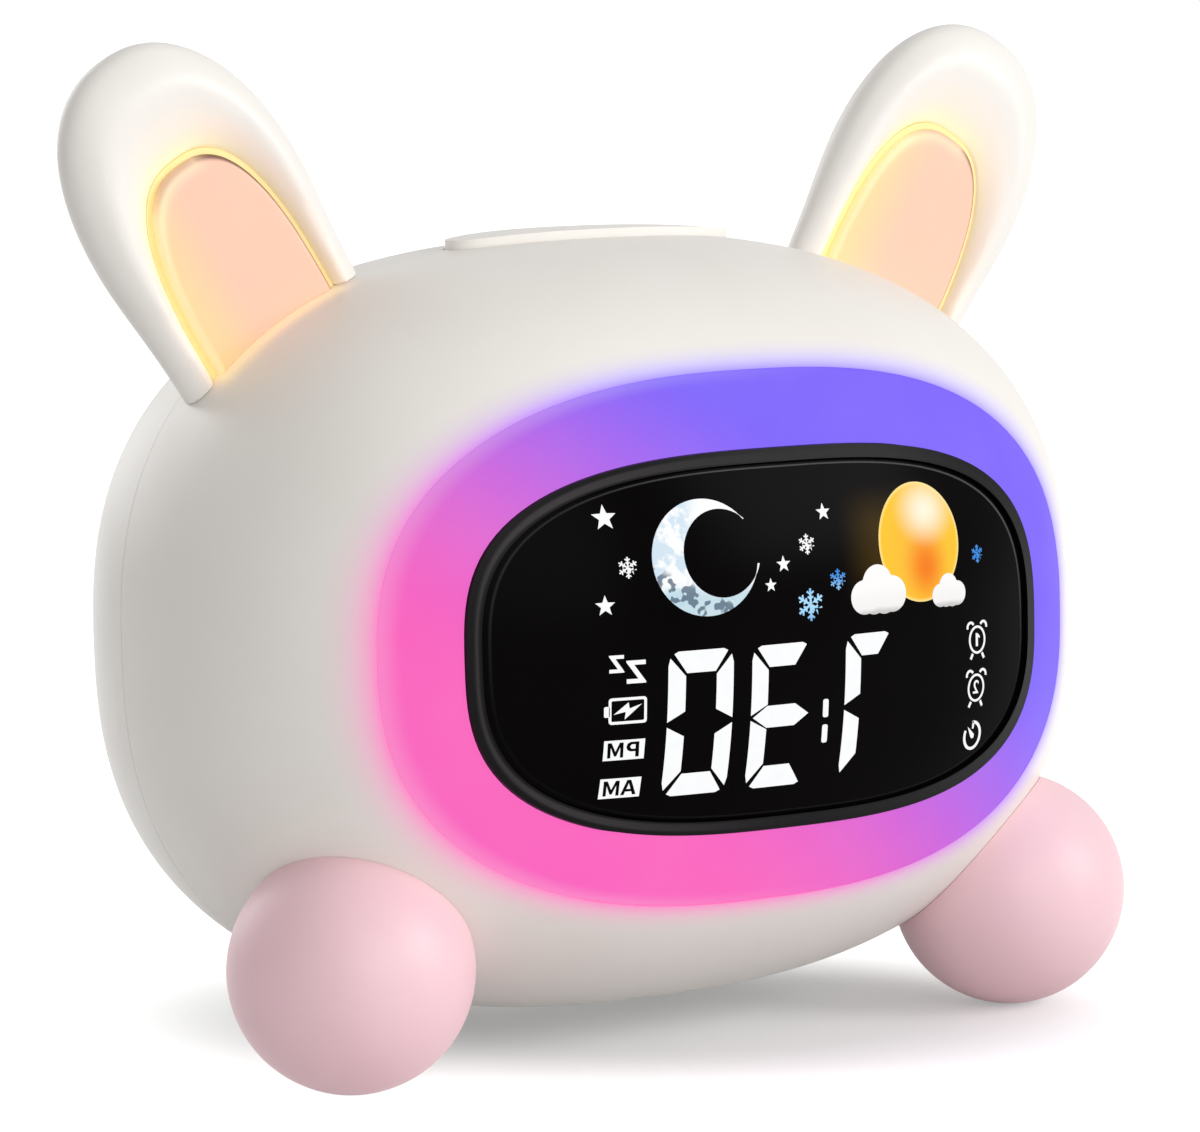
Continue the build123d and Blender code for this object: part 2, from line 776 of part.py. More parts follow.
with BuildPart() as rear_shell:
    add(head_form(0))
    add(head_form(shell_wall), mode=Mode.SUBTRACT)
    split(bisect_by=FACE.offset(-seam_setback - seam_gap), keep=Keep.BOTTOM)
    pocket = face_block(*rear_panel_cut(rear_panel_gap + pocket_wall), -far, floor_front)
    add(domed(pocket, shell_wall / 2))
    add(rear_foot_bosses.part)
    rear_post_start = FACE.offset(-seam_setback - 2 * seam_gap)
    rear_post_radius = screw_head + head_gap + seat_margin
    add(wall_posts(rear_post_start, shell_screw_places, rear_post_radius, -rear_depth))
    board_plane = FACE.offset(main_board_rear)
    add(cylinders(board_plane, board_post_places, board_post_radius, floor_front - main_board_rear))
    cradle_plane = CROWN.offset(cradle_bottom)
    add(wall_posts(cradle_plane, cradle_post_places, cradle_post_radius, -head_half_height))
    with BuildSketch(FACE.offset(floor_front)):
        with Locations(speaker_place):
            Circle(speaker_radius + face_gap + speaker_rim_wall)
            Circle(speaker_radius + face_gap, mode=Mode.SUBTRACT)
    extrude(amount=speaker_flange_wall)
    # The pocket for the rear panel, the screw wells and all holes
    add(face_block(*rear_panel_cut(rear_panel_gap), -far, panel_back), mode=Mode.SUBTRACT)
    add(panel_holes(floor_front, panel_back), mode=Mode.SUBTRACT)
    well_plane = FACE.offset(-shell_screw_seat)
    add(cylinders(well_plane, shell_screw_places, screw_head + head_gap, -far), mode=Mode.SUBTRACT)
    shank_clear = screw_shank + clear_hole_gap
    add(cylinders(well_plane, shell_screw_places, shank_clear, shell_screw_seat), mode=Mode.SUBTRACT)
    depth = small_length - board_wall + screw_end_gap
    add(cylinders(board_plane, board_post_places, small_hole, -depth), mode=Mode.SUBTRACT)
    depth = small_length - cradle_base + small_head_wall + head_gap + screw_end_gap
    add(cylinders(cradle_plane, cradle_post_places, small_hole, -depth), mode=Mode.SUBTRACT)
    foot_plane = Plane.XY
    foot_hole = rear_foot_radius + rear_foot_gap
    add(cylinders(foot_plane, rear_foot_places, foot_hole, rear_foot_wall), mode=Mode.SUBTRACT)
finish(rear_shell.part, "rear_shell")

screw_seat_plane = Plane(origin=well_plane.origin, x_dir=FACE.x_dir, z_dir=-FACE.z_dir)


def seen_from_behind(places):
    """The same places on a plane that is turned round to face the rear."""
    return [(x, -y) for x, y in places]


shell_screws = screws(
    screw_seat_plane,
    seen_from_behind(shell_screw_places),
    screw_shank,
    screw_head,
    screw_head_wall,
    shell_screw_length,
)
finish(shell_screws, "shell_screws")


# ---- Light ring, bezel and lens ----
def outline_ring(outer, inner, back, front):
    """A tube square to the face. Each outline is its half width, half height and roundness."""
    with BuildPart() as tube:
        add(face_block(*outer, back, front))
        add(face_block(*inner, back, front), mode=Mode.SUBTRACT)
    return tube.part


def grown(outline, growth):
    """An outline with its half sizes changed by the growth."""
    half_width, half_height, roundness = outline
    return (half_width + growth, half_height + growth, roundness)


ring_size = (ring_half_width, ring_half_height, ring_roundness)
ring_inner_edge = grown(ring_size, -ring_edge_width)
flange_size = grown(ring_size, ring_flange_width)
bezel_size = (bezel_half_width, bezel_half_height, bezel_roundness)
bezel_opening = grown(bezel_size, face_gap)
lens_size = grown(bezel_size, -bezel_rim)
lens_edge_size = grown(lens_size, -face_gap)
window_size = grown(lens_size, -bezel_lip_width)
lip_root_size = grown(bezel_size, -bezel_rim / 2)

with BuildPart() as light_ring:
    add(domed(face_block(*ring_size, 0, far), 0))
    add(domed(face_block(*flange_size, 0, far), flange_front))
    add(domed(face_block(*ring_inner_edge, 0, far), ring_wall), mode=Mode.SUBTRACT)
    add(head_form(flange_back), mode=Mode.SUBTRACT)
    add(face_block(*bezel_opening, 0, far), mode=Mode.SUBTRACT)
finish(light_ring.part, "light_ring")

with BuildPart() as lens_lip:
    add(domed(outline_ring(lip_root_size, window_size, 0, far), lens_back + face_gap))
    add(head_form(lip_back), mode=Mode.SUBTRACT)

with BuildPart() as display_bezel:
    add(domed(outline_ring(bezel_size, lens_size, carrier_front, far), -bezel_proud))
    add(lens_lip.part)
finish(display_bezel.part, "display_bezel")

with BuildPart() as display_lens:
    add(domed(face_block(*lens_edge_size, 0, far), lens_setback))
    add(head_form(lens_back), mode=Mode.SUBTRACT)
finish(display_lens.part, "display_lens")


# ---- Light carrier, ring board and its LEDs ----
carrier_size = (carrier_half_width, carrier_half_height)
carrier_inside = (carrier_half_width - carrier_wall, carrier_half_height - carrier_wall)
ring_board_size = (ring_half_width - ring_board_margin, ring_half_height - ring_board_margin)
ring_board_inner = (bezel_half_width + ring_board_gap, bezel_half_height + ring_board_gap)


def ring_middle(turn):
    """Point midway between the ring board's two edges."""
    outer = ring_board_size[0] * signed_power(cos(turn), 2 / ring_roundness)
    inner = ring_board_inner[0] * signed_power(cos(turn), 2 / bezel_roundness)
    high = ring_board_size[1] * signed_power(sin(turn), 2 / ring_roundness)
    low = ring_board_inner[1] * signed_power(sin(turn), 2 / bezel_roundness)
    return ((outer + inner) / 2, (high + low) / 2)


ring_led_turns = [2 * pi * (step + 0.5) / ring_led_count for step in range(ring_led_count)]
ring_led_places = [ring_middle(turn) for turn in ring_led_turns]
middle_x = (ring_board_size[0] + ring_board_inner[0]) / 2
middle_y = (ring_board_size[1] + ring_board_inner[1]) / 2
ring_screw_places = [(middle_x, 0), (-middle_x, 0), (0, middle_y), (0, -middle_y)]
ring_boss_depth = small_length - board_wall - carrier_plate + screw_end_gap + ring_boss_end

with BuildPart() as light_carrier:
    add(face_block(*carrier_size, ring_roundness, carrier_back, far))
    add(face_block(*carrier_inside, ring_roundness, carrier_front, far), mode=Mode.SUBTRACT)
    add(head_form(flange_back + face_gap), mode=Mode.INTERSECT)
    for x, y in carrier_ear_places:
        turn = degrees(atan2(y, x))
        centre_x = x - carrier_ear_reach / 2 * cos(radians(turn))
        centre_y = y - carrier_ear_reach / 2 * sin(radians(turn))
        with BuildSketch(FACE.offset(carrier_back)):
            with Locations((centre_x, centre_y)):
                SlotCenterToCenter(carrier_ear_reach, 2 * carrier_ear_radius, rotation=turn)
        extrude(amount=carrier_plate)
    through = carrier_plate + display_post_height
    add(cylinders(FACE.offset(carrier_back), display_post_places, display_post_radius, through))
    add(cylinders(FACE.offset(carrier_back), ring_screw_places, small_post_radius, -ring_boss_depth))
    add(
        face_block(wire_slot_half_width, wire_slot_half_height, ring_roundness, carrier_back, far),
        mode=Mode.SUBTRACT,
    )
    clear = small_shank + clear_hole_gap
    places = display_post_places + carrier_ear_places
    add(cylinders(FACE.offset(carrier_back), places, clear, through), mode=Mode.SUBTRACT)
    depth = small_length - board_wall + screw_end_gap
    add(cylinders(FACE.offset(carrier_front), ring_screw_places, small_hole, -depth), mode=Mode.SUBTRACT)
finish(light_carrier.part, "light_carrier")

carrier_rear = Plane(origin=FACE.offset(carrier_back).origin, x_dir=FACE.x_dir, z_dir=-FACE.z_dir)
carrier_screws = screws(
    carrier_rear,
    seen_from_behind(carrier_ear_places),
    small_shank,
    small_head,
    small_head_wall,
    small_length,
)
finish(carrier_screws, "carrier_screws")

with BuildPart() as ring_board:
    with BuildSketch(FACE.offset(carrier_front)):
        rounded_face(*ring_board_size, ring_roundness)
        with BuildLine(mode=Mode.PRIVATE) as inner_edge:
            Spline(*superellipse(*ring_board_inner, bezel_roundness), periodic=True)
        make_face(inner_edge.edges(), mode=Mode.SUBTRACT)
        with Locations(*ring_screw_places):
            Circle(small_hole, mode=Mode.SUBTRACT)
    extrude(amount=board_wall)
finish(ring_board.part, "ring_light_board")

with BuildPart() as ring_leds:
    with BuildSketch(FACE.offset(ring_board_front)):
        with Locations(*ring_led_places):
            Rectangle(led_size, led_size)
    extrude(amount=led_height)
finish(ring_leds.part, "ring_leds")

ring_screws = screws(
    FACE.offset(ring_board_front),
    ring_screw_places,
    small_shank,
    small_head,
    small_head_wall,
    small_length,
)
finish(ring_screws, "ring_board_screws")


# ---- Display board, segment block, film and LEDs ----
def digit_wells(centre):
    """Seven wells of a digit: centre x, centre y, width, height."""
    side = (digit_width - segment_width) / 2
    rise = (digit_height - segment_width) / 2
    bar = 2 * side - segment_width - 2 * segment_end_gap
    post = rise - segment_width - 2 * segment_end_gap
    wells = [(centre, digit_level + step * rise, bar, segment_width) for step in (-1, 0, 1)]
    for across in (-1, 1):
        for along in (-1, 1):
            wells.append((centre + across * side, digit_level + along * rise / 2, segment_width, post))
    return wells


digit_centres = [
    digit_group_centre + side * (digit_offset + step * digit_pitch)
    for side in (-1, 1)
    for step in (0, 1)
]
segment_wells = [well for centre in digit_centres for well in digit_wells(centre)]
colon_offset = colon_half_pitch + colon_height / 2
colon_wells = [
    (digit_group_centre, digit_level + side * colon_offset, segment_width / 2, colon_height)
    for side in (-1, 1)
]
icon_wells = [
    (column, level, 2 * icon_half_width, 2 * icon_half_height)
    for column, levels in ((left_icon_column, left_icon_levels), (right_icon_column, right_icon_levels))
    for level in levels
]
picture_places = [moon_place, sun_place]
display_size = (display_half_width, display_half_height)

with BuildPart() as display_block:
    with BuildSketch(FACE.offset(display_board_front)):
        rounded_face(*display_size, bezel_roundness)
        for x, y, width, height in segment_wells + colon_wells + icon_wells:
            with Locations((x, y)):
                Rectangle(width, height, mode=Mode.SUBTRACT)
        with Locations(*picture_places):
            Circle(picture_radius, mode=Mode.SUBTRACT)
    extrude(amount=display_front - display_board_front)
    depth = display_screw_length - carrier_plate - display_post_height - board_wall + screw_end_gap
    front_side = FACE.offset(display_board_front)
    add(cylinders(front_side, display_post_places, small_hole, depth), mode=Mode.SUBTRACT)
finish(display_block.part, "display_segment_block")

with BuildPart() as display_board:
    with BuildSketch(FACE.offset(display_board_back)):
        rounded_face(*display_size, bezel_roundness)
        with Locations(*display_post_places):
            Circle(small_hole, mode=Mode.SUBTRACT)
    extrude(amount=board_wall)
finish(display_board.part, "display_board")

picture_led_places = [
    (x + across * picture_radius / 2, y + along * picture_radius / 2)
    for x, y in picture_places
    for across in (-1, 1)
    for along in (-1, 1)
]
display_led_places = [(x, y) for x, y, width, height in segment_wells + icon_wells] + picture_led_places
with BuildPart() as display_leds:
    with BuildSketch(FACE.offset(display_board_front)):
        with Locations(*display_led_places):
            Rectangle(small_led_width, small_led_depth)
    extrude(amount=small_led_height)
finish(display_leds.part, "display_leds")

with BuildPart() as display_film:
    with BuildSketch(FACE.offset(display_front)):
        rounded_face(*display_size, bezel_roundness)
    extrude(amount=film_wall)
finish(display_film.part, "display_film")

display_screws = screws(
    carrier_rear,
    seen_from_behind(display_post_places),
    small_shank,
    small_head,
    small_head_wall,
    display_screw_length,
)
finish(display_screws, "display_screws")


# ---- Ears and ball feet ----
ear_screws = []
foot_screws = []
ear_led_group = []
for side, name in ((-1, "left"), (1, "right")):
    finish(ear_shell(side), f"{name}_ear_shell")
    finish(ear_panel(side), f"{name}_ear_panel")
    finish(ear_light_guide(side), f"{name}_ear_light_guide")
    finish(ear_led_board(side), f"{name}_ear_light_board")
    finish(foot_ball(side), f"{name}_foot_ball")
    ear_led_group.extend(ear_leds(side).solids())
    ear_screws.extend(ear_screw_set(side).solids())
    foot_screws.extend(foot_screw(side).solids())
finish(Compound(children=ear_led_group), "ear_leds")
finish(Compound(children=ear_screws), "ear_screws")
finish(Compound(children=foot_screws), "foot_ball_screws")

for (x, y), name in zip(rear_foot_places, ("right", "left")):
    with BuildPart() as rear_foot:
        with BuildSketch():
            with Locations((x, y)):
                Circle(rear_foot_radius)
        extrude(amount=rear_foot_wall)
        chamfer(rear_foot.edges().group_by(Axis.Z)[0], rear_foot_chamfer)
    finish(rear_foot.part, f"{name}_rear_foot")


# ---- Top button with its switch and board ----
button_size = (button_half_length, button_half_depth, button_roundness)
inside = (button_half_length - button_side_wall, button_half_depth - button_side_wall, button_roundness)
flange = (button_half_length + button_flange, button_half_depth + button_flange, button_roundness)
flange_bottom = button_inner + button_flange_wall

with BuildPart() as top_button:
    add(domed(crown_block(*button_size, 0, far), -button_proud))
    add(domed(crown_block(*flange, 0, far), button_inner))
    add(head_form(flange_bottom), mode=Mode.SUBTRACT)
    add(domed(crown_block(*inside, 0, far), button_top_wall - button_proud), mode=Mode.SUBTRACT)
    stem = cylinders(CROWN.offset(stem_bottom), [(0, button_setback)], stem_radius, far)
    add(domed(stem, 0))
finish(top_button.part, "top_button")

with BuildPart() as top_board:
    with BuildSketch(CROWN.offset(top_board_bottom)):
        with Locations((0, button_setback)):
            Rectangle(2 * top_board_half_length, 2 * top_board_half_depth)
        with Locations(*top_post_places):
            Circle(small_hole, mode=Mode.SUBTRACT)
    extrude(amount=board_wall)
finish(top_board.part, "top_switch_board")


def switches(plane, places):
    """Push switches that stand on a plane: a square body and a round plunger."""
    with BuildPart() as group:
        with BuildSketch(plane):
            with Locations(*places):
                Rectangle(switch_size, switch_size)
        extrude(amount=switch_body)
        with BuildSketch(plane.offset(switch_body)):
            with Locations(*places):
                Circle(plunger_radius)
        extrude(amount=plunger_height)
    return group.part


finish(switches(CROWN.offset(top_board_top), [(0, button_setback)]), "top_switch")

board_under = Plane(origin=CROWN.offset(top_board_bottom).origin, x_dir=CROWN.x_dir, z_dir=-CROWN.z_dir)
top_board_screws = screws(
    board_under,
    seen_from_behind(top_post_places),
    small_shank,
    small_head,
    small_head_wall,
    small_length,
)
finish(top_board_screws, "top_board_screws")


# ---- Rear panel, keys, main board, socket ----
with BuildPart() as rear_panel:
    add(face_block(*rear_panel_cut(0), panel_face, panel_back))
    add(panel_holes(panel_back, panel_face), mode=Mode.SUBTRACT)
finish(rear_panel.part, "rear_panel")

for (x, y), name in zip(key_places, key_names):
    with BuildPart() as key:
        with BuildSketch(FACE.offset(key_front)):
            with Locations((x, y)):
                Circle(key_radius + key_flange)
        extrude(amount=key_flange_back - key_front)
        with BuildSketch(FACE.offset(key_flange_back)):
            with Locations((x, y)):
                Circle(key_radius)
        extrude(amount=panel_face - key_proud - key_flange_back)
        outward = Axis(FACE.origin, -FACE.z_dir)
        fillet(key.edges().sort_by(outward)[-1], key_crown)
    finish(key.part, name)

with BuildPart() as main_board:
    with BuildSketch(FACE.offset(main_board_rear)):
        with Locations((main_board_centre, 0)):
            Rectangle(2 * main_board_half_width, 2 * main_board_half_height)
        with Locations(*board_post_places):
            Circle(small_hole, mode=Mode.SUBTRACT)
    extrude(amount=board_wall)
finish(main_board.part, "main_board")

board_rear_face = Plane(origin=FACE.offset(main_board_rear).origin, x_dir=FACE.x_dir, z_dir=-FACE.z_dir)
finish(switches(board_rear_face, seen_from_behind(key_places)), "key_switches")
finish(
    screws(
        FACE.offset(main_board_front),
        board_post_places,
        small_shank,
        small_head,
        small_head_wall,
        small_length,
    ),
    "main_board_screws",
)

socket_length = main_board_rear - panel_face - socket_setback
with BuildPart() as socket:
    with BuildSketch(board_rear_face):
        with Locations(*seen_from_behind([socket_place])):
            RectangleRounded(2 * socket_half_width, 2 * socket_half_height, socket_half_height - socket_wall)
    extrude(amount=socket_length)
    with BuildSketch(board_rear_face.offset(socket_length)):
        with Locations(*seen_from_behind([socket_place])):
            width = 2 * (socket_half_width - socket_wall)
            height = 2 * (socket_half_height - socket_wall)
            RectangleRounded(width, height, socket_half_height - 2 * socket_wall)
    extrude(amount=-socket_mouth_depth, mode=Mode.SUBTRACT)
    with BuildSketch(board_rear_face.offset(socket_length - socket_mouth_depth)):
        with Locations(*seen_from_behind([socket_place])):
            Rectangle(2 * socket_tongue_half_width, 2 * socket_tongue_half_height)
    extrude(amount=socket_tongue_length)
finish(socket.part, "charging_socket")


# ---- Speaker ----
speaker_origin = FACE.from_local_coords((*speaker_place, floor_front))
SPEAKER = Plane(origin=speaker_origin, x_dir=FACE.x_dir, z_dir=-FACE.y_dir)  # x out, y forward
speaker_axis = Axis(speaker_origin, FACE.z_dir)
basket_inner = speaker_cone_radius + speaker_surround
throat = speaker_magnet_radius - speaker_basket_wall

with BuildPart() as speaker_frame:
    with BuildSketch(SPEAKER):
        with BuildLine():
            Polyline(
                (basket_inner, 0),
                (speaker_radius, 0),
                (speaker_radius, speaker_flange_wall),
                (basket_inner + speaker_basket_wall, speaker_flange_wall),
                (speaker_magnet_radius, speaker_basket_depth),
                (speaker_coil_radius, speaker_basket_depth),
                (speaker_coil_radius, speaker_basket_depth - speaker_basket_wall),
                (throat, speaker_basket_depth - speaker_basket_wall),
                (basket_inner, speaker_flange_wall),
                close=True,
            )
        make_face()
    revolve(axis=speaker_axis)
finish(speaker_frame.part, "speaker_frame")

with BuildPart() as speaker_cone:
    with BuildSketch(SPEAKER):
        with BuildLine():
            Polyline(
                (basket_inner - face_gap, speaker_cone_wall),
                (speaker_cone_radius, speaker_cone_wall),
                (speaker_coil_radius, speaker_cone_depth),
                (0, speaker_cone_depth - speaker_dome_rise),
                (0, speaker_cone_depth - speaker_dome_rise + speaker_cone_wall),
                (speaker_coil_radius, speaker_cone_depth + speaker_cone_wall),
                (speaker_cone_radius, 2 * speaker_cone_wall),
                (basket_inner - face_gap, 2 * speaker_cone_wall),
                close=True,
            )
        make_face()
    revolve(axis=speaker_axis)
finish(speaker_cone.part, "speaker_cone")

with BuildPart() as speaker_magnet:
    with BuildSketch(FACE.offset(floor_front + speaker_basket_depth)):
        with Locations(speaker_place):
            Circle(speaker_magnet_radius)
    extrude(amount=speaker_magnet_depth)
finish(speaker_magnet.part, "speaker_magnet")


# ---- Battery in its cradle ----
cell_start = Plane(
    origin=CROWN.from_local_coords((-cell_length / 2, cell_setback, cell_level)),
    x_dir=CROWN.y_dir,
    z_dir=CROWN.x_dir,
)
with BuildPart() as battery_cell:
    with BuildSketch(cell_start):
        Circle(cell_radius)
    extrude(amount=cell_length)
    chamfer(battery_cell.edges(), cell_edge)
finish(battery_cell.part, "battery_cell")

cradle_half_length = cell_length / 2 + cradle_gap + cradle_end_wall
cradle_half_depth = cell_radius + cradle_gap + cradle_wall
with BuildPart() as battery_cradle:
    with BuildSketch(CROWN.offset(cradle_bottom)):
        with Locations((0, cell_setback)):
            Rectangle(2 * cradle_half_length, 2 * cradle_half_depth)
    extrude(amount=cell_level - cradle_bottom)
    with BuildSketch(cell_start.offset(-cradle_gap)):
        Circle(cell_radius + cradle_gap)
    extrude(amount=cell_length + 2 * cradle_gap, mode=Mode.SUBTRACT)
    head_plane = CROWN.offset(cradle_bottom + cradle_base - small_head_wall - head_gap)
    well = small_head + head_gap
    add(cylinders(head_plane, cradle_post_places, well, cell_radius), mode=Mode.SUBTRACT)
    clear = small_shank + clear_hole_gap
    add(cylinders(CROWN.offset(cradle_bottom), cradle_post_places, clear, cell_radius), mode=Mode.SUBTRACT)
finish(battery_cradle.part, "battery_cradle")

cradle_screws = screws(
    head_plane,
    cradle_post_places,
    small_shank,
    small_head,
    small_head_wall,
    small_length,
)
finish(cradle_screws, "cradle_screws")
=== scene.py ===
import json
import math

import bpy
from mathutils import Matrix, Vector


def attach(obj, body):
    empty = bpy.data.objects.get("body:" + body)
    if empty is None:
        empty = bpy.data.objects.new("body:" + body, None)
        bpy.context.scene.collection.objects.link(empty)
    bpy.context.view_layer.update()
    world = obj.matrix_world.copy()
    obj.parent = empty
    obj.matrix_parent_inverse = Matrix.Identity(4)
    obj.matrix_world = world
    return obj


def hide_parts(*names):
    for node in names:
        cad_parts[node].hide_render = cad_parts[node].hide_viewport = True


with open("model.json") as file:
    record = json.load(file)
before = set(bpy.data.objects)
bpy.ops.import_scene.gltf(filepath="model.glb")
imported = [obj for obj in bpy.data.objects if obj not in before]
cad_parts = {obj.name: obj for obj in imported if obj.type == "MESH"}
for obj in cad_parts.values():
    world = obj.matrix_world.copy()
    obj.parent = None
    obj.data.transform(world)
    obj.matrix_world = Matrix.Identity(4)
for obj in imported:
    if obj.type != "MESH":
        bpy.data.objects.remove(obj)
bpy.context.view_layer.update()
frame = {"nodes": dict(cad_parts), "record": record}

# A child's alarm clock and night light. Metres; the clock faces -Y and stands on Z = 0.
# The face leans back a little, so its own "up" and "ahead" are turned from Z and -Y.
MM = 0.001
HEAD_CENTRE = Vector((0, 1.723, 60.045)) * MM
HEAD_LEAN = math.radians(3)
FACE_UP = Vector((0, math.sin(HEAD_LEAN), math.cos(HEAD_LEAN)))
FACE_AHEAD = Vector((0, -math.cos(HEAD_LEAN), math.sin(HEAD_LEAN)))
FACE_TURN = (math.radians(90) - HEAD_LEAN, 0, 0)

# The right ear's middle plane, and its panel in millimetres; the left ear mirrors it.
EAR_ROOT = Vector((53.4152, 4.6184, 105.7385)) * MM
EAR_ACROSS = Vector((0.855364, -0.027111, -0.517317))
EAR_ALONG = Vector((0.518027, 0.044766, 0.854192))
PANEL_HALF_WIDTH, PANEL_HEIGHT, PANEL_ARCH_RISE, PANEL_ROUNDNESS = 11.0, 27.1, 25.4, 2.6

CLOCK = "clock"  # the body that carries all but the moving keys


# ---- Piece helpers ----
def select_only(piece):
    bpy.ops.object.select_all(action="DESELECT")
    piece.select_set(True)
    bpy.context.view_layer.objects.active = piece


def settle():
    """Moves the selected piece's place, turn and size into its mesh."""
    bpy.ops.object.transform_apply(location=True, rotation=True, scale=True)


def edit_all(operator, **settings):
    """Runs an edit mode operator on the whole of the selected piece."""
    bpy.ops.object.mode_set(mode="EDIT")
    bpy.ops.mesh.select_all(action="SELECT")
    operator(**settings)
    bpy.ops.object.mode_set(mode="OBJECT")


def apply_modifier(piece, name, kind, **settings):
    """Gives the selected piece a modifier and makes what it does part of the mesh."""
    modifier = piece.modifiers.new(name, kind)
    for setting, value in settings.items():
        setattr(modifier, setting, value)
    bpy.ops.object.modifier_apply(modifier=name)


def cover(piece, material):
    piece.data.materials.clear()
    piece.data.materials.append(material)


# ---- Node helpers ----
BLACK, WHITE = (0, 0, 0, 1), (1, 1, 1, 1)
MIX_COLOUR_INPUTS, MIX_COLOUR_OUTPUT = (0, 6, 7), 2


def colour(red, green, blue):
    """A colour given in 0 to 255 as seen, turned into the linear values that shaders use."""
    seen = [value / 255 for value in (red, green, blue)]
    return [
        value / 12.92 if value <= 0.04045 else ((value + 0.055) / 1.055) ** 2.4 for value in seen
    ] + [1]


class Tree:
    """Short ways to add and join nodes in a material or group."""

    def __init__(self, tree):
        self.tree = tree

    def add(self, kind, **settings):
        node = self.tree.nodes.new("ShaderNode" + kind)
        for name, value in settings.items():
            setattr(node, name, value)
        return node

    def put(self, socket, value):
        if isinstance(value, bpy.types.NodeSocket):
            self.tree.links.new(value, socket)
        else:
            socket.default_value = value

    def math(self, operation, first, second=0.0, clamp=False):
        node = self.add("Math", operation=operation, use_clamp=clamp)
        self.put(node.inputs[0], first)
        self.put(node.inputs[1], second)
        return node.outputs[0]

    def times(self, first, second):
        return self.math("MULTIPLY", first, second)

    def gap(self, value, middle):
        """How far a value lies from a middle one, to either side."""
        return self.math("ABSOLUTE", self.math("SUBTRACT", value, middle))

    def vector_math(self, operation, first, second):
        node = self.add("VectorMath", operation=operation)
        self.put(node.inputs[0], first)
        self.put(node.inputs[1], second)
        return node.outputs

    def dot(self, first, second):
        return self.vector_math("DOT_PRODUCT", first, second)["Value"]

    def subtract(self, first, second):
        return self.vector_math("SUBTRACT", first, second)["Vector"]

    def mix(self, factor, first, second, blend="MIX"):
        node = self.add("Mix", data_type="RGBA", blend_type=blend)
        for index, value in zip(MIX_COLOUR_INPUTS, (factor, first, second)):
            self.put(node.inputs[index], value)
        return node.outputs[MIX_COLOUR_OUTPUT]

    def span(self, value, low, high, out_low=0.0, out_high=1.0, smooth=True):
        """Maps a value's span to another, with soft ends."""
        node = self.add("MapRange", interpolation_type="SMOOTHSTEP" if smooth else "LINEAR")
        for socket, number in zip(node.inputs, (value, low, high, out_low, out_high)):
            self.put(socket, number)
        return node.outputs[0]

    def fall(self, value, low, high, smooth=True):
        """1 below a value's span and 0 above it."""
        return self.span(value, low, high, 1.0, 0.0, smooth)

    def noise(self, place, scale, detail=2.0, roughness=0.5):
        node = self.add("TexNoise")
        self.put(node.inputs["Vector"], place)
        self.put(node.inputs["Scale"], scale)
        self.put(node.inputs["Detail"], detail)
        self.put(node.inputs["Roughness"], roughness)
        return node.outputs["Fac"]

    def place(self):
        return self.add("TexCoord").outputs["Object"]

    def group(self, group, **values):
        node = self.add("Group", node_tree=group)
        for name, value in values.items():
            self.put(node.inputs[name.replace("_", " ")], value)
        return node.outputs


def new_group(name, inputs, outputs):
    """A shader node group with its sockets; returns the group, its tree helper and both ends."""
    group = bpy.data.node_groups.new(name, "ShaderNodeTree")
    for direction, sockets in (("INPUT", inputs), ("OUTPUT", outputs)):
        for socket_name, kind in sockets:
            kind = "NodeSocket" + kind
            group.interface.new_socket(socket_name, in_out=direction, socket_type=kind)
    tree = Tree(group)
    entry = group.nodes.new("NodeGroupInput").outputs
    end = group.nodes.new("NodeGroupOutput").inputs
    return group, tree, entry, end


def floats(*names):
    return [(name, "Float") for name in names]


def new_material(name, roughness=0.5, **plain):
    """A material with a Principled shader; plain values are set on its own sockets."""
    material = bpy.data.materials.new(name)
    material.use_nodes = True
    tree = Tree(material.node_tree)
    shader = material.node_tree.nodes["Principled BSDF"]
    shader.inputs["Roughness"].default_value = roughness
    for socket_name, value in plain.items():
        shader.inputs[socket_name.replace("_", " ")].default_value = value
    return material, tree, shader.inputs


def give_off(tree, sockets, tint, strength):
    """Makes a Principled shader shine in a colour."""
    tree.put(sockets["Emission Color"], tint)
    tree.put(sockets["Emission Strength"], strength)


# ---- Shared effects ----
PLACE = [("Place", "Vector")]
GRAIN_SCALE, GRAIN_STRENGTH, GRAIN_DEPTH = 2600.0, 0.25, 0.03 * MM
DRIFT_SCALE, DRIFT_DETAIL = 45.0, 3.0
SHADE_LEVEL, SHADE_DRIFT, GLOSS_DRIFT = 0.2, 0.6, 0.14
SHADE_TINT = (0.9, 0.88, 0.86, 1)


def make_face_place():
    """Place on the face in millimetres: across, up and ahead, from the head's centre."""
    group, tree, entry, end = new_group("face place", PLACE, floats("Across", "Up", "Ahead"))
    local = tree.subtract(entry["Place"], HEAD_CENTRE)
    for name, axis in (("Across", Vector((1, 0, 0))), ("Up", FACE_UP), ("Ahead", FACE_AHEAD)):
        tree.put(end[name], tree.dot(local, axis / MM))
    return group


def make_rounded_share():
    """How far out a point lies from a rounded outline's middle: 1 on the outline."""
    sizes = floats("Half Width", "Half Height", "Roundness")
    group, tree, entry, end = new_group(
        "rounded share", floats("Across", "Up") + sizes, floats("Share")
    )
    sides = []
    for place, size in (("Across", "Half Width"), ("Up", "Half Height")):
        share = tree.math("DIVIDE", tree.math("ABSOLUTE", entry[place]), entry[size])
        sides.append(tree.math("POWER", share, entry["Roundness"]))
    root = tree.math("DIVIDE", 1.0, entry["Roundness"])
    tree.put(end["Share"], tree.math("POWER", tree.math("ADD", *sides), root))
    return group


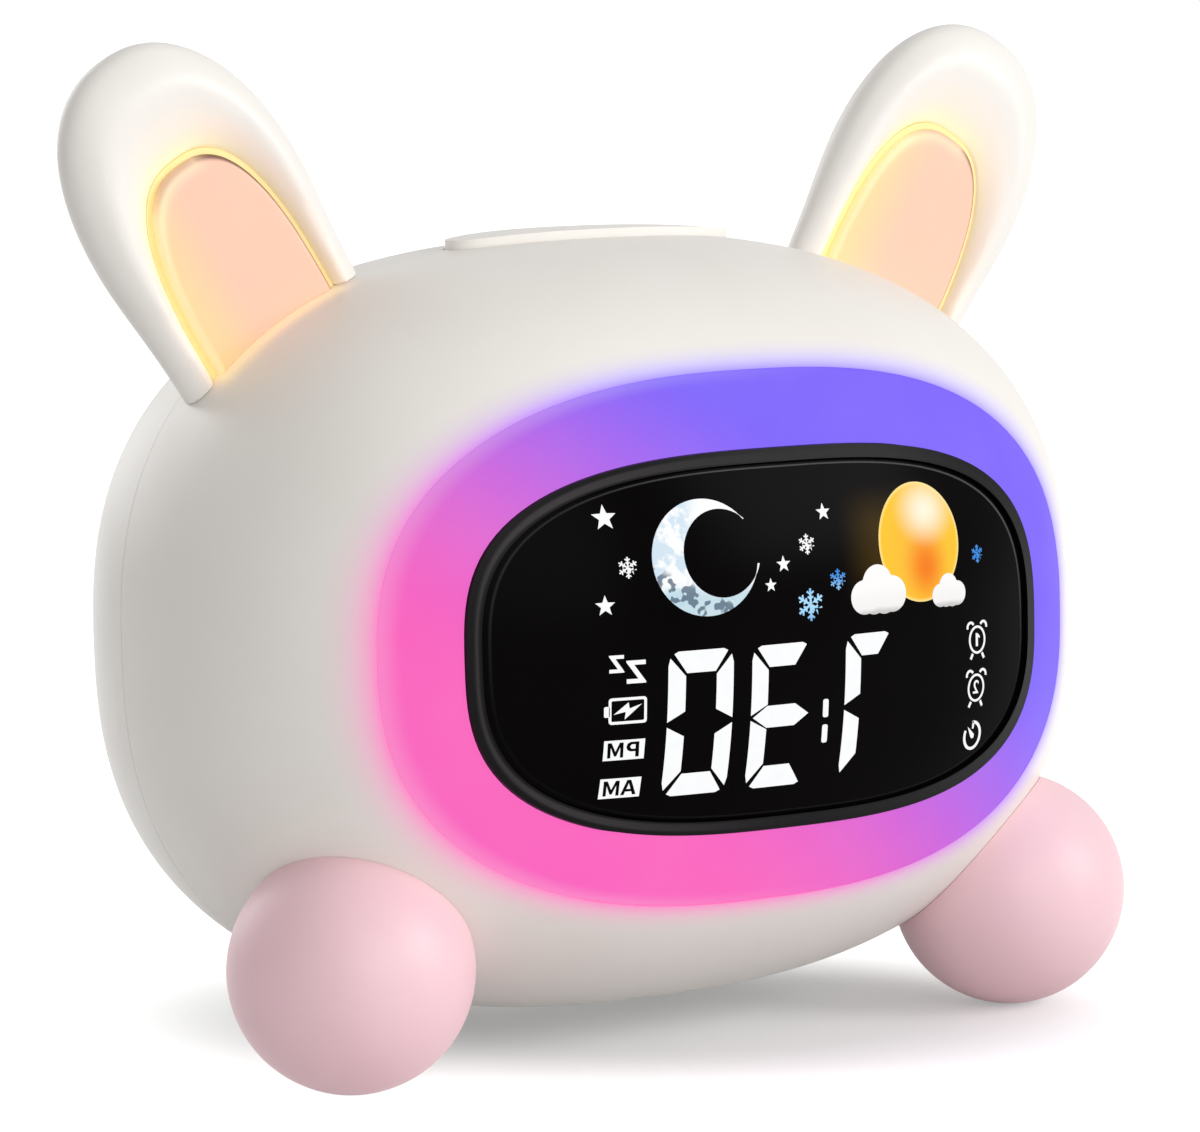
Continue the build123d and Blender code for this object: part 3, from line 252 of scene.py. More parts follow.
def rounded(tree, across, up, half_width, half_height, roundness):
    """The rounded share at a place."""
    sizes = {"Half_Width": half_width, "Half_Height": half_height, "Roundness": roundness}
    return tree.group(ROUNDED_SHARE, Across=across, Up=up, **sizes)["Share"]


def make_ear_place():
    """Place on an ear in millimetres. Share is 1 on the panel's outline, less inside it."""
    names = floats("Across", "Along", "Forward", "Share")
    group, tree, entry, end = new_group("ear place", PLACE, names)
    split = tree.add("SeparateXYZ")
    tree.put(split.inputs[0], entry["Place"])
    join = tree.add("CombineXYZ")
    tree.put(join.inputs[0], tree.math("ABSOLUTE", split.outputs[0]))
    tree.put(join.inputs[1], split.outputs[1])
    tree.put(join.inputs[2], split.outputs[2])
    local = tree.subtract(join.outputs[0], EAR_ROOT)
    across = tree.dot(local, EAR_ACROSS / MM)
    along = tree.dot(local, EAR_ALONG / MM)
    tree.put(end["Across"], tree.times(across, tree.math("SIGN", split.outputs[0])))
    tree.put(end["Along"], along)
    tree.put(end["Forward"], tree.dot(local, FACE_AHEAD / MM))
    above = tree.math("SUBTRACT", along, PANEL_HEIGHT - PANEL_ARCH_RISE)
    above = tree.math("MAXIMUM", above, 0.0)
    panel = (PANEL_HALF_WIDTH, PANEL_ARCH_RISE, PANEL_ROUNDNESS)
    tree.put(end["Share"], rounded(tree, across, above, *panel))
    return group


def make_moulded():
    """Moulded plastic: fine spark grain, slow unevenness of gloss and a little colour drift."""
    group, tree, entry, end = new_group(
        "moulded plastic",
        PLACE + [("Colour", "Color")] + floats("Roughness"),
        [("Colour", "Color")] + floats("Roughness", "Height"),
    )
    slow = tree.noise(entry["Place"], DRIFT_SCALE, DRIFT_DETAIL)
    slow = tree.math("SUBTRACT", slow, 0.5)
    shade = tree.math("ADD", SHADE_LEVEL, tree.times(slow, SHADE_DRIFT), clamp=True)
    darker = tree.mix(1.0, entry["Colour"], SHADE_TINT, "MULTIPLY")
    tree.put(end["Colour"], tree.mix(shade, entry["Colour"], darker))
    worn = tree.times(slow, GLOSS_DRIFT)
    tree.put(end["Roughness"], tree.math("ADD", entry["Roughness"], worn, clamp=True))
    tree.put(end["Height"], tree.noise(entry["Place"], GRAIN_SCALE))
    return group


FACE_PLACE = make_face_place()
ROUNDED_SHARE = make_rounded_share()
EAR_PLACE = make_ear_place()
MOULDED = make_moulded()


def finish_moulded(tree, sockets, tint, roughness):
    """Joins the moulded effect to a Principled shader; returns the colour it puts out."""
    put_out = tree.group(MOULDED, Place=tree.place(), Colour=tint, Roughness=roughness)
    tree.put(sockets["Base Color"], put_out["Colour"])
    tree.put(sockets["Roughness"], put_out["Roughness"])
    bump = tree.add("Bump")
    tree.put(bump.inputs["Strength"], GRAIN_STRENGTH)
    tree.put(bump.inputs["Distance"], GRAIN_DEPTH)
    tree.put(bump.inputs["Height"], put_out["Height"])
    tree.put(sockets["Normal"], bump.outputs["Normal"])
    return put_out["Colour"]


def face_shares(tree, half_width, half_height, roundness):
    """Place on the face, and how far out it lies towards a rounded outline."""
    face = tree.group(FACE_PLACE, Place=tree.place())
    return face, rounded(tree, face["Across"], face["Up"], half_width, half_height, roundness)


# ---- Colours and finishes ----
# Places on the face and the ears are in millimetres, and a share is 1 on its outline.
RING_PINK = colour(254, 98, 192)
RING_VIOLET = colour(124, 97, 252)
SHELL_WHITE = colour(241, 237, 231)
GLOW_YELLOW = colour(255, 244, 196)
GLOW_ROSE = colour(255, 226, 202)

# Rounded outlines on the face, each by half width, half height and roundness
RING_OUTLINE = (59.0, 37.8, 2.5)
BEZEL_OUTLINE = (48.9, 27.0, 2.9)
LENS_OUTLINE = (47.0, 25.1, 2.9)

# Pink turns to violet along this way across and up, between these two places
RING_SLANT = {"Across": 0.61, "Up": 0.79}
RING_BLEND = (-35.0, 25.0)

SUN_CENTRE, SUN_RADII = (23.5, 12.15), (7.9, 8.55)
BRUSH_STRETCH = (1, 14, 14)


def ring_colour(tree, face):
    """Pink below and on the left, violet above and on the right, blended across a slanted line."""
    across, up = [tree.times(face[name], share) for name, share in RING_SLANT.items()]
    blend = tree.span(tree.math("ADD", across, up), *RING_BLEND)
    return tree.mix(blend, RING_PINK, RING_VIOLET)


def make_shell_plastic():
    """Warm white plastic with a painted glow from the ring and from the ears' lit edges, in its
    colour and as light it gives off.
    """
    material, tree, sockets = new_material("shell plastic", Coat_Weight=0.1, Coat_Roughness=0.35)
    plastic = finish_moulded(tree, sockets, SHELL_WHITE, 0.42)
    face, share = face_shares(tree, *RING_OUTLINE)
    # Painted glow from the ring, strongest at its outline and only on the front of the head
    painted_ring_glow = tree.math("POWER", tree.fall(share, 1.0, 1.12, smooth=False), 2.0)
    painted_ring_glow = tree.times(painted_ring_glow, tree.span(face["Ahead"], 0.0, 12.0))
    # Painted glow round each ear's panel, in front of it: yellow close in, rose further out
    ear = tree.group(EAR_PLACE, Place=tree.place())
    on_ear = tree.times(tree.span(ear["Along"], -6.0, 1.5), tree.fall(ear["Forward"], 3.8, 8.5))
    in_front = tree.times(tree.span(ear["Forward"], -0.5, 1.8), on_ear)
    yellow = tree.times(tree.fall(ear["Share"], 1.0, 1.2), in_front)
    rose = tree.times(tree.fall(ear["Share"], 1.05, 1.4), in_front)
    # The painted glows tint the white and also give off light
    tint = tree.mix(tree.times(rose, 0.7), plastic, GLOW_ROSE)
    tint = tree.mix(tree.times(yellow, 0.8), tint, GLOW_YELLOW)
    tint = tree.mix(tree.times(painted_ring_glow, 0.85), tint, ring_colour(tree, face))
    tree.put(sockets["Base Color"], tint)
    lit = tree.math("MAXIMUM", tree.times(painted_ring_glow, 0.65), tree.times(rose, 0.5), clamp=True)
    lit = tree.math("MAXIMUM", lit, tree.times(yellow, 0.7))
    give_off(tree, sockets, tree.mix(lit, BLACK, tint), 0.35)
    return material


def make_ring_diffuser():
    """A milky diffuser, lit from behind, with a painted highlight that makes its outer edge a
    little paler on the left.
    """
    material, tree, sockets = new_material("ring diffuser", roughness=0.6, Specular_IOR_Level=0.1)
    face, share = face_shares(tree, *RING_OUTLINE)
    grain = tree.times(tree.noise(tree.place(), 60.0), 0.06)
    tint = tree.mix(grain, ring_colour(tree, face), WHITE)
    # Painted highlight: the outer edge is paler on the left only
    left = tree.span(face["Across"], -30.0, 20.0, 0.12, 0.0)
    tint = tree.mix(tree.times(tree.span(share, 0.95, 1.0), left), tint, WHITE)
    tree.put(sockets["Base Color"], tree.mix(0.88, tint, BLACK))
    give_off(tree, sockets, tint, 0.86)
    return material


def make_bezel():
    """Plastic with painted light, dark grey on the left to near black, and a painted shade line at
    each edge.
    """
    material, tree, sockets = new_material("bezel plastic", Specular_IOR_Level=0.08)
    face, share = face_shares(tree, *BEZEL_OUTLINE)
    # Painted light: lighter grey on the left, fading to near black on the right
    across = tree.span(face["Across"], -40.0, 5.0)
    shade = tree.mix(across, colour(58, 55, 57), colour(18, 17, 19))
    grey = finish_moulded(tree, sockets, shade, 0.36)
    # Painted shade: a black line along the outer and the inner edge
    outer = tree.span(share, 0.97, 0.985)
    inner = tree.fall(face_shares(tree, *LENS_OUTLINE)[1], 1.004, 1.016)
    edge = tree.math("MAXIMUM", outer, inner)
    tree.put(sockets["Base Color"], tree.mix(edge, grey, colour(12, 10, 12)))
    return material


def make_lens():
    """A near black lens with a painted highlight in a thin paler line near its edge, brightest
    above right.
    """
    material, tree, sockets = new_material("dark lens", Specular_IOR_Level=0.015, roughness=0.25)
    face, share = face_shares(tree, *LENS_OUTLINE)
    # Painted highlight: a thin pale line just inside the edge, brighter above and to the right
    line = tree.fall(tree.gap(share, 0.972), 0.0, 0.007)
    line = tree.times(line, tree.span(face["Up"], -12.0, 18.0, 0.1, 1.0))
    line = tree.times(line, tree.span(face["Across"], -40.0, -5.0, 0.25, 1.0))
    black = tree.mix(tree.noise(tree.place(), 30.0), colour(1, 0, 1), colour(8, 6, 6))
    tree.put(sockets["Base Color"], tree.mix(line, black, colour(84, 82, 84)))
    # A painted amber glow round the lit sun
    painted_sun_glow = tree.times(tree.span(face["Across"], 8.0, 16.0), tree.fall(face["Across"], 15.0, 30.0))
    painted_sun_glow = tree.times(painted_sun_glow, tree.fall(tree.gap(face["Up"], 12.5), 2.0, 9.0))
    give_off(tree, sockets, tree.mix(painted_sun_glow, BLACK, colour(62, 46, 10)), 1.0)
    return material


def make_ear_panel():
    """A peach panel with painted light: yellower on its left with a painted glow along that edge,
    and a painted shade line on its right.
    """
    material, tree, sockets = new_material("peach panel")
    ear = tree.group(EAR_PLACE, Place=tree.place())
    # Painted light: the panel turns yellower towards its left
    painted_warmth = tree.fall(ear["Across"], -11.5, -0.5)
    peach = tree.mix(painted_warmth, colour(243, 190, 166), colour(247, 206, 148))
    finished = finish_moulded(tree, sockets, peach, 0.5)
    # Painted shade: a dark line along the right edge, fainter over the top
    top = tree.span(ear["Along"], 22.0, 27.0, 0.0, 0.35)
    right = tree.math("MAXIMUM", tree.span(ear["Across"], 0.0, 5.0), top)
    dark = tree.times(tree.span(ear["Share"], 0.95, 0.985), right)
    # Painted glow along the left edge, in the colour and in the light given off
    glow = tree.times(tree.span(ear["Share"], 0.88, 0.99), tree.math("SUBTRACT", 1.0, right))
    finished = tree.mix(tree.times(glow, 0.5), finished, GLOW_YELLOW)
    tree.put(sockets["Base Color"], tree.mix(dark, finished, colour(120, 84, 66)))
    lit = tree.mix(tree.times(glow, 0.45), tree.mix(0.6, peach, BLACK), GLOW_YELLOW)
    give_off(tree, sockets, tree.mix(dark, lit, BLACK), 0.3)
    return material


def make_ear_guide():
    """The frosted guide that lights an ear's edge."""
    material, tree, sockets = new_material("ear light guide")
    tint = finish_moulded(tree, sockets, colour(250, 228, 158), 0.5)
    give_off(tree, sockets, tint, 0.14)
    return material


def make_plain_moulded(name, tint, roughness, **plain):
    material, tree, sockets = new_material(name, **plain)
    finish_moulded(tree, sockets, tint, roughness)
    return material


def make_metal(name, tint, roughness):
    """Metal brushed from side to side."""
    material, tree, sockets = new_material(name, Metallic=1.0)
    brushed = tree.add("Mapping")
    tree.put(brushed.inputs["Vector"], tree.place())
    brushed.inputs["Scale"].default_value = BRUSH_STRETCH
    streaks = tree.noise(brushed.outputs[0], 900.0, 3.0)
    darker = [value * 0.75 for value in tint[:3]] + [1]
    tree.put(sockets["Base Color"], tree.mix(streaks, tint, darker))
    tree.put(sockets["Roughness"], tree.math("ADD", roughness, tree.times(streaks, 0.15)))
    return material


def make_sign(name, paint, glow):
    """A lit sign: paint(tree, face) gives its colour, and glow the share that it shines."""
    material, tree, sockets = new_material(name, roughness=0.5, Specular_IOR_Level=0.08)
    tint = paint(tree, tree.group(FACE_PLACE, Place=tree.place()))
    tree.put(sockets["Base Color"], tree.mix(glow, tint, BLACK))
    give_off(tree, sockets, tint, glow)
    return material


def paint_white(tree, face):
    """A hardly uneven white, the same wherever it is on the face."""
    uneven = tree.noise(tree.place(), 500.0)
    return tree.mix(uneven, colour(255, 255, 255), colour(246, 248, 250))


def paint_blue(tree, face):
    """Pale blue above, deep blue below, on each snowflake by its own height."""
    level = tree.math("PINGPONG", tree.math("SUBTRACT", face["Up"], 0.4), 4.6)
    return tree.mix(tree.span(level, 0.4, 4.4), colour(62, 140, 222), colour(172, 222, 252))


def paint_moon(tree, face):
    """White with pale blue plains on its left, a bluer foot, and slate craters low on the left."""
    plains = tree.span(tree.noise(tree.place(), 380.0, 3.0, 0.6), 0.44, 0.56)
    plains = tree.times(plains, tree.fall(face["Across"], -17.5, -14.0))
    tint = tree.mix(tree.times(plains, 0.8), colour(252, 253, 254), colour(200, 224, 240))
    low = tree.fall(face["Up"], 7.0, 9.6)
    tint = tree.mix(tree.times(low, 0.8), tint, colour(186, 216, 228))
    craters = tree.span(tree.noise(tree.place(), 620.0, 1.0, 0.6), 0.52, 0.56)
    slant = tree.math("ADD", face["Up"], tree.times(face["Across"], 0.45))
    craters = tree.times(craters, tree.fall(slant, 0.8, 2.2))
    return tree.mix(tree.times(craters, 0.85), tint, colour(78, 100, 122))


def paint_sun(tree, face):
    """Yellow rim, pale highlight above on the right, orange heart low in the middle."""

    def way_out(centre, radii):
        """0 in the middle of an oval and 1 on it."""
        across = tree.math("SUBTRACT", face["Across"], centre[0])
        up = tree.math("SUBTRACT", face["Up"], centre[1])
        return rounded(tree, across, up, *radii, 2.0)

    tint = colour(253, 200, 48)
    for centre, radii, patch in (
        ((23.6, 10.6), (8.5, 10.5), colour(252, 184, 56)),
        ((24.4, 8.6), (5.2, 6.6), colour(247, 126, 20)),
        ((25.0, 16.6), (6.8, 5.8), colour(255, 247, 222)),
    ):
        tint = tree.mix(tree.fall(way_out(centre, radii), 0.0, 1.0), tint, patch)
    rim = tree.span(way_out(SUN_CENTRE, SUN_RADII), 0.93, 0.995)
    return tree.mix(tree.times(rim, 0.6), tint, colour(255, 240, 170))


def paint_cloud(tree, face):
    """White puffs with a grey belly."""
    level = tree.math("ADD", face["Up"], tree.times(tree.noise(tree.place(), 260.0), 1.4))
    grey = tree.mix(tree.fall(level, 3.3, 4.3), colour(252, 251, 250), colour(188, 186, 184))
    return tree.mix(tree.span(level, 4.5, 7.5, 0.35, 0.0), grey, colour(232, 230, 228))


SHELL = make_shell_plastic()
SIGN_WHITE = make_sign("lit white sign", paint_white, 0.95)
SIGN_BLUE = make_sign("lit blue sign", paint_blue, 0.9)
MOON = make_sign("moon picture", paint_moon, 0.93)
SUN = make_sign("sun picture", paint_sun, 0.93)
CLOUD = make_sign("cloud picture", paint_cloud, 0.93)
KEY_MARK = make_plain_moulded("printed key mark", colour(150, 112, 120), 0.6)
FILM = make_plain_moulded("printed film", colour(14, 13, 14), 0.5, Specular_IOR_Level=0.1)
FINISHES = {
    "shell": SHELL,
    "ring_diffuser": make_ring_diffuser(),
    "bezel": make_bezel(),
    "lens": make_lens(),
    "display_film": FILM,
    "ear_panel": make_ear_panel(),
    "ear_guide": make_ear_guide(),
    "foot_ball": make_plain_moulded("pink ball", colour(245, 206, 213), 0.46),
    "foot_rubber": make_plain_moulded("foot rubber", colour(150, 147, 142), 0.8),
    "inner_plastic": make_plain_moulded("inner plastic", colour(225, 225, 222), 0.55),
    "circuit_board": make_plain_moulded("circuit board", colour(24, 92, 54), 0.4),
    "led": make_plain_moulded("led", colour(240, 232, 190), 0.3),
    "switch_plastic": make_plain_moulded("switch plastic", colour(34, 34, 36), 0.5),
    "rear_panel": make_plain_moulded("rear panel plastic", colour(232, 227, 219), 0.5),
    "key": make_plain_moulded("soft key", colour(238, 196, 204), 0.6),
    "socket_metal": make_metal("socket metal", colour(198, 198, 202), 0.28),
    "speaker_paper": make_plain_moulded("speaker paper", colour(38, 37, 38), 0.8),
    "magnet_steel": make_metal("magnet steel", colour(176, 178, 182), 0.3),
    "cell_wrap": make_plain_moulded("cell wrap", colour(48, 110, 190), 0.35),
    "screw_steel": make_metal("screw steel", colour(190, 190, 192), 0.3),
}

slot_of = {part["node"]: part["material_slot"] for part in frame["record"]["subparts"]}
for node, piece in frame["nodes"].items():
    cover(piece, FINISHES[slot_of[node]])


# ---- The ears' rims, rolled smoothly from the lit bowl to the back ----
MERGE_REACH = 0.002 * MM
EAR_VOXEL = 0.35 * MM
# Each rubbing down: name, repeats, and where it begins, ahead of the ear's middle plane and
# outside the panel, in millimetres. The first rolls the rim and the second eases the voxels.
EAR_RUBS = (("rim", 60, 2.6, 1.5), ("skin", 4, -90.0, 0.0))
RUB_STRENGTH = 0.5
RUB_FOOT, RUB_FADE = 3.0, 3.0  # it fades in up the ear, from this height over this span


def rub_share(place, ahead_from, outside_from):
    """How much of a rubbing down a point of either ear gets, from 0 to 1."""
    spot = Vector((abs(place.x), place.y, place.z)) - EAR_ROOT
    across, along, ahead = [spot.dot(way) / MM for way in (EAR_ACROSS, EAR_ALONG, FACE_AHEAD)]
    above = max(along - PANEL_HEIGHT + PANEL_ARCH_RISE, 0)
    reach = math.hypot(across / PANEL_HALF_WIDTH, above / PANEL_ARCH_RISE) * PANEL_HALF_WIDTH
    outside = reach - PANEL_HALF_WIDTH - outside_from
    upward = (along - RUB_FOOT) / RUB_FADE
    return min(max(min(outside, ahead - ahead_from, upward), 0), 1)


def soften_ear(node):
    """One skin for an ear's shell; in front of the panel its edges are rubbed down."""
    shell = frame["nodes"][node]
    piece = bpy.data.objects.new(node.replace("shell", "skin"), shell.data.copy())
    bpy.context.scene.collection.objects.link(piece)
    select_only(piece)
    edit_all(bpy.ops.mesh.remove_doubles, threshold=MERGE_REACH)
    apply_modifier(piece, "remesh", "REMESH", mode="VOXEL", voxel_size=EAR_VOXEL)
    for name, repeats, ahead_from, outside_from in EAR_RUBS:
        group = piece.vertex_groups.new(name=name)
        for vertex in piece.data.vertices:
            share = rub_share(vertex.co, ahead_from, outside_from)
            group.add([vertex.index], share, "REPLACE")
        rub = {"factor": RUB_STRENGTH, "iterations": repeats, "vertex_group": name}
        apply_modifier(piece, name, "SMOOTH", **rub)
    bpy.ops.object.shade_smooth()
    cover(piece, SHELL)
    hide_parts(node)
    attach(piece, CLOCK)


for ear_node in ("left_ear_shell", "right_ear_shell"):
    soften_ear(ear_node)


# ---- Thin lit signs that follow the lens ----
# All places and sizes of the signs are in millimetres, from the head's centre.
LENS = frame["nodes"]["display_lens"]
SIGN_WALL = 0.06 * MM
SIGN_START = 70  # the sheets are pressed on the lens from this far ahead
STRIP = 1.4  # and cut this fine, so that they bend with it
LETTER_TURN = -1  # the display's letters and numerals read from its other side
CAPITAL_SHARE = 0.7  # how much of a type's size its capitals take
BOLD_SHARE = 0.018  # how much heavier a numeral is drawn, for its height


def arc(centre, radii, start, end, steps):
    """Points along part of an oval between two angles in degrees."""
    turns = [math.radians(start + (end - start) * step / steps) for step in range(steps + 1)]
    return [
        (centre[0] + radii[0] * math.cos(turn), centre[1] + radii[1] * math.sin(turn))
        for turn in turns
    ]


def oval(centre, radii, steps=40):
    return arc(centre, radii, 0, 360 - 360 / steps, steps - 1)


def moved(points, across, up, scale=1.0):
    return [(across + x * scale, up + y * scale) for x, y in points]


def rounded_box(half_width, half_height, corner, centre):
    points = []
    for turn, side, level in ((0, 1, 1), (90, -1, 1), (180, -1, -1), (270, 1, -1)):
        across = centre[0] + side * (half_width - corner)
        up = centre[1] + level * (half_height - corner)
        points += arc((across, up), (corner, corner), turn, turn + 90, steps=5)
    return points


def stroke(points, width):
    """The closed outline of a line drawn with a pen of the given width."""
    sides = ([], [])
    last = len(points) - 1
    for index, (x, y) in enumerate(points):
        before, after = points[max(index - 1, 0)], points[min(index + 1, last)]
        run, rise = after[0] - before[0], after[1] - before[1]
        length = math.hypot(run, rise)
        across, up = -rise / length * width / 2, run / length * width / 2
        sides[0].append((x + across, y + up))
        sides[1].append((x - across, y - up))
    return sides[0] + sides[1][::-1]


def flat_sheet(name, outlines):
    """A flat sheet filled between closed outlines in millimetres, in the plane of the face."""
    curve = bpy.data.curves.new(name, "CURVE")
    curve.dimensions = "2D"
    curve.fill_mode = "BOTH"
    for outline in outlines:
        spline = curve.splines.new("POLY")
        spline.points.add(len(outline) - 1)
        for point, (x, y) in zip(spline.points, outline):
            point.co = (x, y, 0, 1)
        spline.use_cyclic_u = True
    piece = bpy.data.objects.new(name, curve)
    bpy.context.scene.collection.objects.link(piece)
    select_only(piece)
    bpy.ops.object.convert(target="MESH")
    return bpy.context.object


def numeral_sheet(name, numeral, place, height):
    """A numeral in the plain type as a flat sheet, turned to the display's reading side."""
    bpy.ops.object.select_all(action="DESELECT")
    bpy.ops.object.text_add()
    piece = bpy.context.object
    piece.name = name
    piece.data.body = numeral
    piece.data.align_x, piece.data.align_y = "CENTER", "CENTER"
    piece.data.size = height / CAPITAL_SHARE
    piece.data.offset = BOLD_SHARE * height
    bpy.ops.object.convert(target="MESH")
    piece = bpy.context.object
    piece.scale = (LETTER_TURN, 1, 1)
    piece.location = (*place, 0)
    settle()
    return piece


def press_on_lens(piece, material, lift=0.02):
    """Cuts a flat sheet into strips, presses it on the lens and gives it a thin wall."""
    select_only(piece)
    places = [[vertex.co[axis] for vertex in piece.data.vertices] for axis in (0, 1)]
    bpy.ops.object.mode_set(mode="EDIT")
    for axis_places, normal in zip(places, (Vector((1, 0, 0)), Vector((0, 1, 0)))):
        low, high = min(axis_places), max(axis_places)
        for step in range(int(low / STRIP), int(high / STRIP) + 1):
            bpy.ops.mesh.select_all(action="SELECT")
            bpy.ops.mesh.bisect(plane_co=normal * step * STRIP, plane_no=normal)
    bpy.ops.object.mode_set(mode="OBJECT")
    piece.scale = (MM, MM, MM)
    settle()
    piece.rotation_euler = FACE_TURN
    piece.location = HEAD_CENTRE + FACE_AHEAD * SIGN_START * MM
    apply_modifier(
        piece,
        "press",
        "SHRINKWRAP",
        wrap_method="PROJECT",
        wrap_mode="ABOVE_SURFACE",
        use_project_z=True,
        use_positive_direction=False,
        use_negative_direction=True,
        target=LENS,
        offset=lift * MM,
    )
    apply_modifier(piece, "wall", "SOLIDIFY", thickness=SIGN_WALL, offset=1)
    settle()
    edit_all(bpy.ops.mesh.normals_make_consistent, inside=False)
    cover(piece, material)
    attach(piece, CLOCK)


# Digits of mitred bars. "top", "middle" and "bottom" are bars; the others are posts.
BAR_WALL = 3.1
POST_WALL = 2.7
MITRE_GAP = 0.2
CORNER_CUT = 1.6
CORNER_STEP = 0.7
BAR_EASE, POST_EASE, POST_DROP = 0.32, 0.3, 0.4
MIDDLE_INSET = 0.35
DIGIT_SLANT = 0.6


def digit_outlines(left, top, width, height, parts):
    """The outlines of a digit's lit parts, from its upper left corner."""
    half = height / 2
    bar = [
        (CORNER_STEP + MITRE_GAP, BAR_EASE),
        (CORNER_CUT, 0),
        (width - CORNER_CUT, 0),
        (width - CORNER_STEP - MITRE_GAP, BAR_EASE),
        (width - POST_WALL - MITRE_GAP, BAR_WALL),
        (POST_WALL + MITRE_GAP, BAR_WALL),
    ]
    post = [
        (POST_EASE, CORNER_STEP + MITRE_GAP),
        (POST_WALL, BAR_WALL + 2 * MITRE_GAP),
        (POST_WALL, half - BAR_WALL / 2 - MITRE_GAP),
        (0, half - 1.8 * MITRE_GAP),
        (0, CORNER_CUT + POST_DROP),
    ]
    middle = [
        (MIDDLE_INSET, half),
        (POST_WALL, half - BAR_WALL / 2),
        (width - POST_WALL, half - BAR_WALL / 2),
        (width - MIDDLE_INSET, half),
        (width - POST_WALL, half + BAR_WALL / 2),
        (POST_WALL, half + BAR_WALL / 2),
    ]
    shapes = {
        "top": bar,
        "bottom": [(a, height - b) for a, b in bar],
        "middle": middle,
        "left upper": post,
        "left lower": [(a, height - b) for a, b in post],
        "right upper": [(width - a, b) for a, b in post],
        "right lower": [(width - a, height - b) for a, b in post],
    }
    return [
        [(left + a - DIGIT_SLANT * b / height, top - b) for a, b in shapes[part]] for part in parts
    ]


def star(centre, radius):
    """A star of five points."""
    points = []
    for step in range(10):
        reach = radius if step % 2 == 0 else radius * 0.42
        turn = math.radians(90 + 36 * step)
        points.append((centre[0] + reach * math.cos(turn), centre[1] + reach * math.sin(turn)))
    return points


def snowflake(centre, size):
    """Six arms, each with two pairs of branches, as one outline."""
    pen, sine, cosine = 0.07, math.sin(math.radians(55)), math.cos(math.radians(55))
    side = [(pen, pen / math.tan(math.radians(30)))]
    for start, length in ((0.34, 0.2), (0.62, 0.27)):
        side += [
            (pen, start),
            (pen + length * sine, start + length * cosine),
            (pen + length * sine - 0.08, start + length * cosine + 0.09),
            (pen, start + 0.14),
        ]
    side.append((pen, 1.0))
    arm = side + [(-x, y) for x, y in side[::-1]]
    points = []
    for step in range(6):
        turn = math.radians(-60 * step)
        for x, y in arm[::-1]:
            across = x * math.cos(turn) + y * math.sin(turn)
            up = -x * math.sin(turn) + y * math.cos(turn)
            points.append((centre[0] + size * across, centre[1] + size * up))
    return points


def crescent():
    """The moon, between an outer and an inner arc."""
    outer = arc(centre=(-14.1, 12.55), radii=(8.4, 8.15), start=37.4, end=350.8, steps=60)
    inner = arc(centre=(-11.42, 12.99), radii=(6.18, 6.18), start=343.2, end=48.2, steps=44)
    return outer + inner


def puffs(circles, middle, steps=72):
    """The outline round a heap of circles, seen from a point inside it."""
    points = []
    for step in range(steps):
        turn = 2 * math.pi * step / steps
        ray = (math.cos(turn), math.sin(turn))
        reach = 0
        for x, y, radius in circles:
            along = (x - middle[0]) * ray[0] + (y - middle[1]) * ray[1]
            aside_square = (x - middle[0]) ** 2 + (y - middle[1]) ** 2 - along**2
            if aside_square < radius**2:
                reach = max(reach, along + math.sqrt(radius**2 - aside_square))
        points.append((middle[0] + ray[0] * reach, middle[1] + ray[1] * reach))
    return points


# A cloud's circles, each by its place across and up and its radius
CLOUD_PUFFS = [
    (-2.7, 0.0, 2.45),
    (-0.2, 1.75, 2.75),
    (2.45, 0.15, 2.6),
    (0.9, -0.4, 2.2),
    (-1.0, -0.45, 2.1),
]


def cloud(across, up, scale):
    circles = [(across + x * scale, up + y * scale, radius * scale) for x, y, radius in CLOUD_PUFFS]
    return puffs(circles, (across, up))


def letter_z(left, top, width, height, pen):
    """A Z turned to the display's reading side."""
    lip = pen * 0.35
    run = pen * 1.25 * 1.45
    shape = [
        (width, 0),
        (0, 0),
        (0, -lip),
        (width - run, -height + pen),
        (0, -height + pen),
        (0, -height),
        (width, -height),
        (width, -height + lip),
        (run, -pen),
        (width, -pen),
    ]
    return moved(shape, left, top)


# Capitals cut through their plates, one unit wide and high, each by its outlines
LETTERS = {
    "A": [
        [(0, 0), (0.37, 1), (0.63, 1), (1, 0), (0.76, 0), (0.69, 0.22), (0.31, 0.22), (0.24, 0)],
        [(0.38, 0.4), (0.62, 0.4), (0.5, 0.76)],
    ],
    "M": [
        [(0, 0), (0, 1), (0.25, 1), (0.5, 0.42), (0.75, 1), (1, 1), (1, 0), (0.79, 0)]
        + [(0.79, 0.66), (0.57, 0.1), (0.43, 0.1), (0.21, 0.66), (0.21, 0)],
    ],
    "P": [
        [(0.1, 0), (0.1, 1), (0.64, 1), (0.84, 0.9), (0.92, 0.68), (0.84, 0.46)]
        + [(0.64, 0.36), (0.34, 0.36), (0.34, 0)],
        [(0.34, 0.54), (0.34, 0.82), (0.58, 0.82), (0.68, 0.68), (0.58, 0.54)],
    ],
}
LETTER_WIDTH, LETTER_HEIGHT = 2.35, 2.15
LETTER_LEFTS = (-2.45, 0.1)
PLATE = [(-2.95, 1.4), (-3.05, -1.4), (2.95, -1.4), (3.05, 1.4)]
NUMERAL_ONE = [(0.34, 0), (0.34, 0.72), (0.12, 0.6), (0.12, 0.78), (0.4, 1), (0.56, 1), (0.56, 0)]
NUMERAL_HEIGHT = 1.9


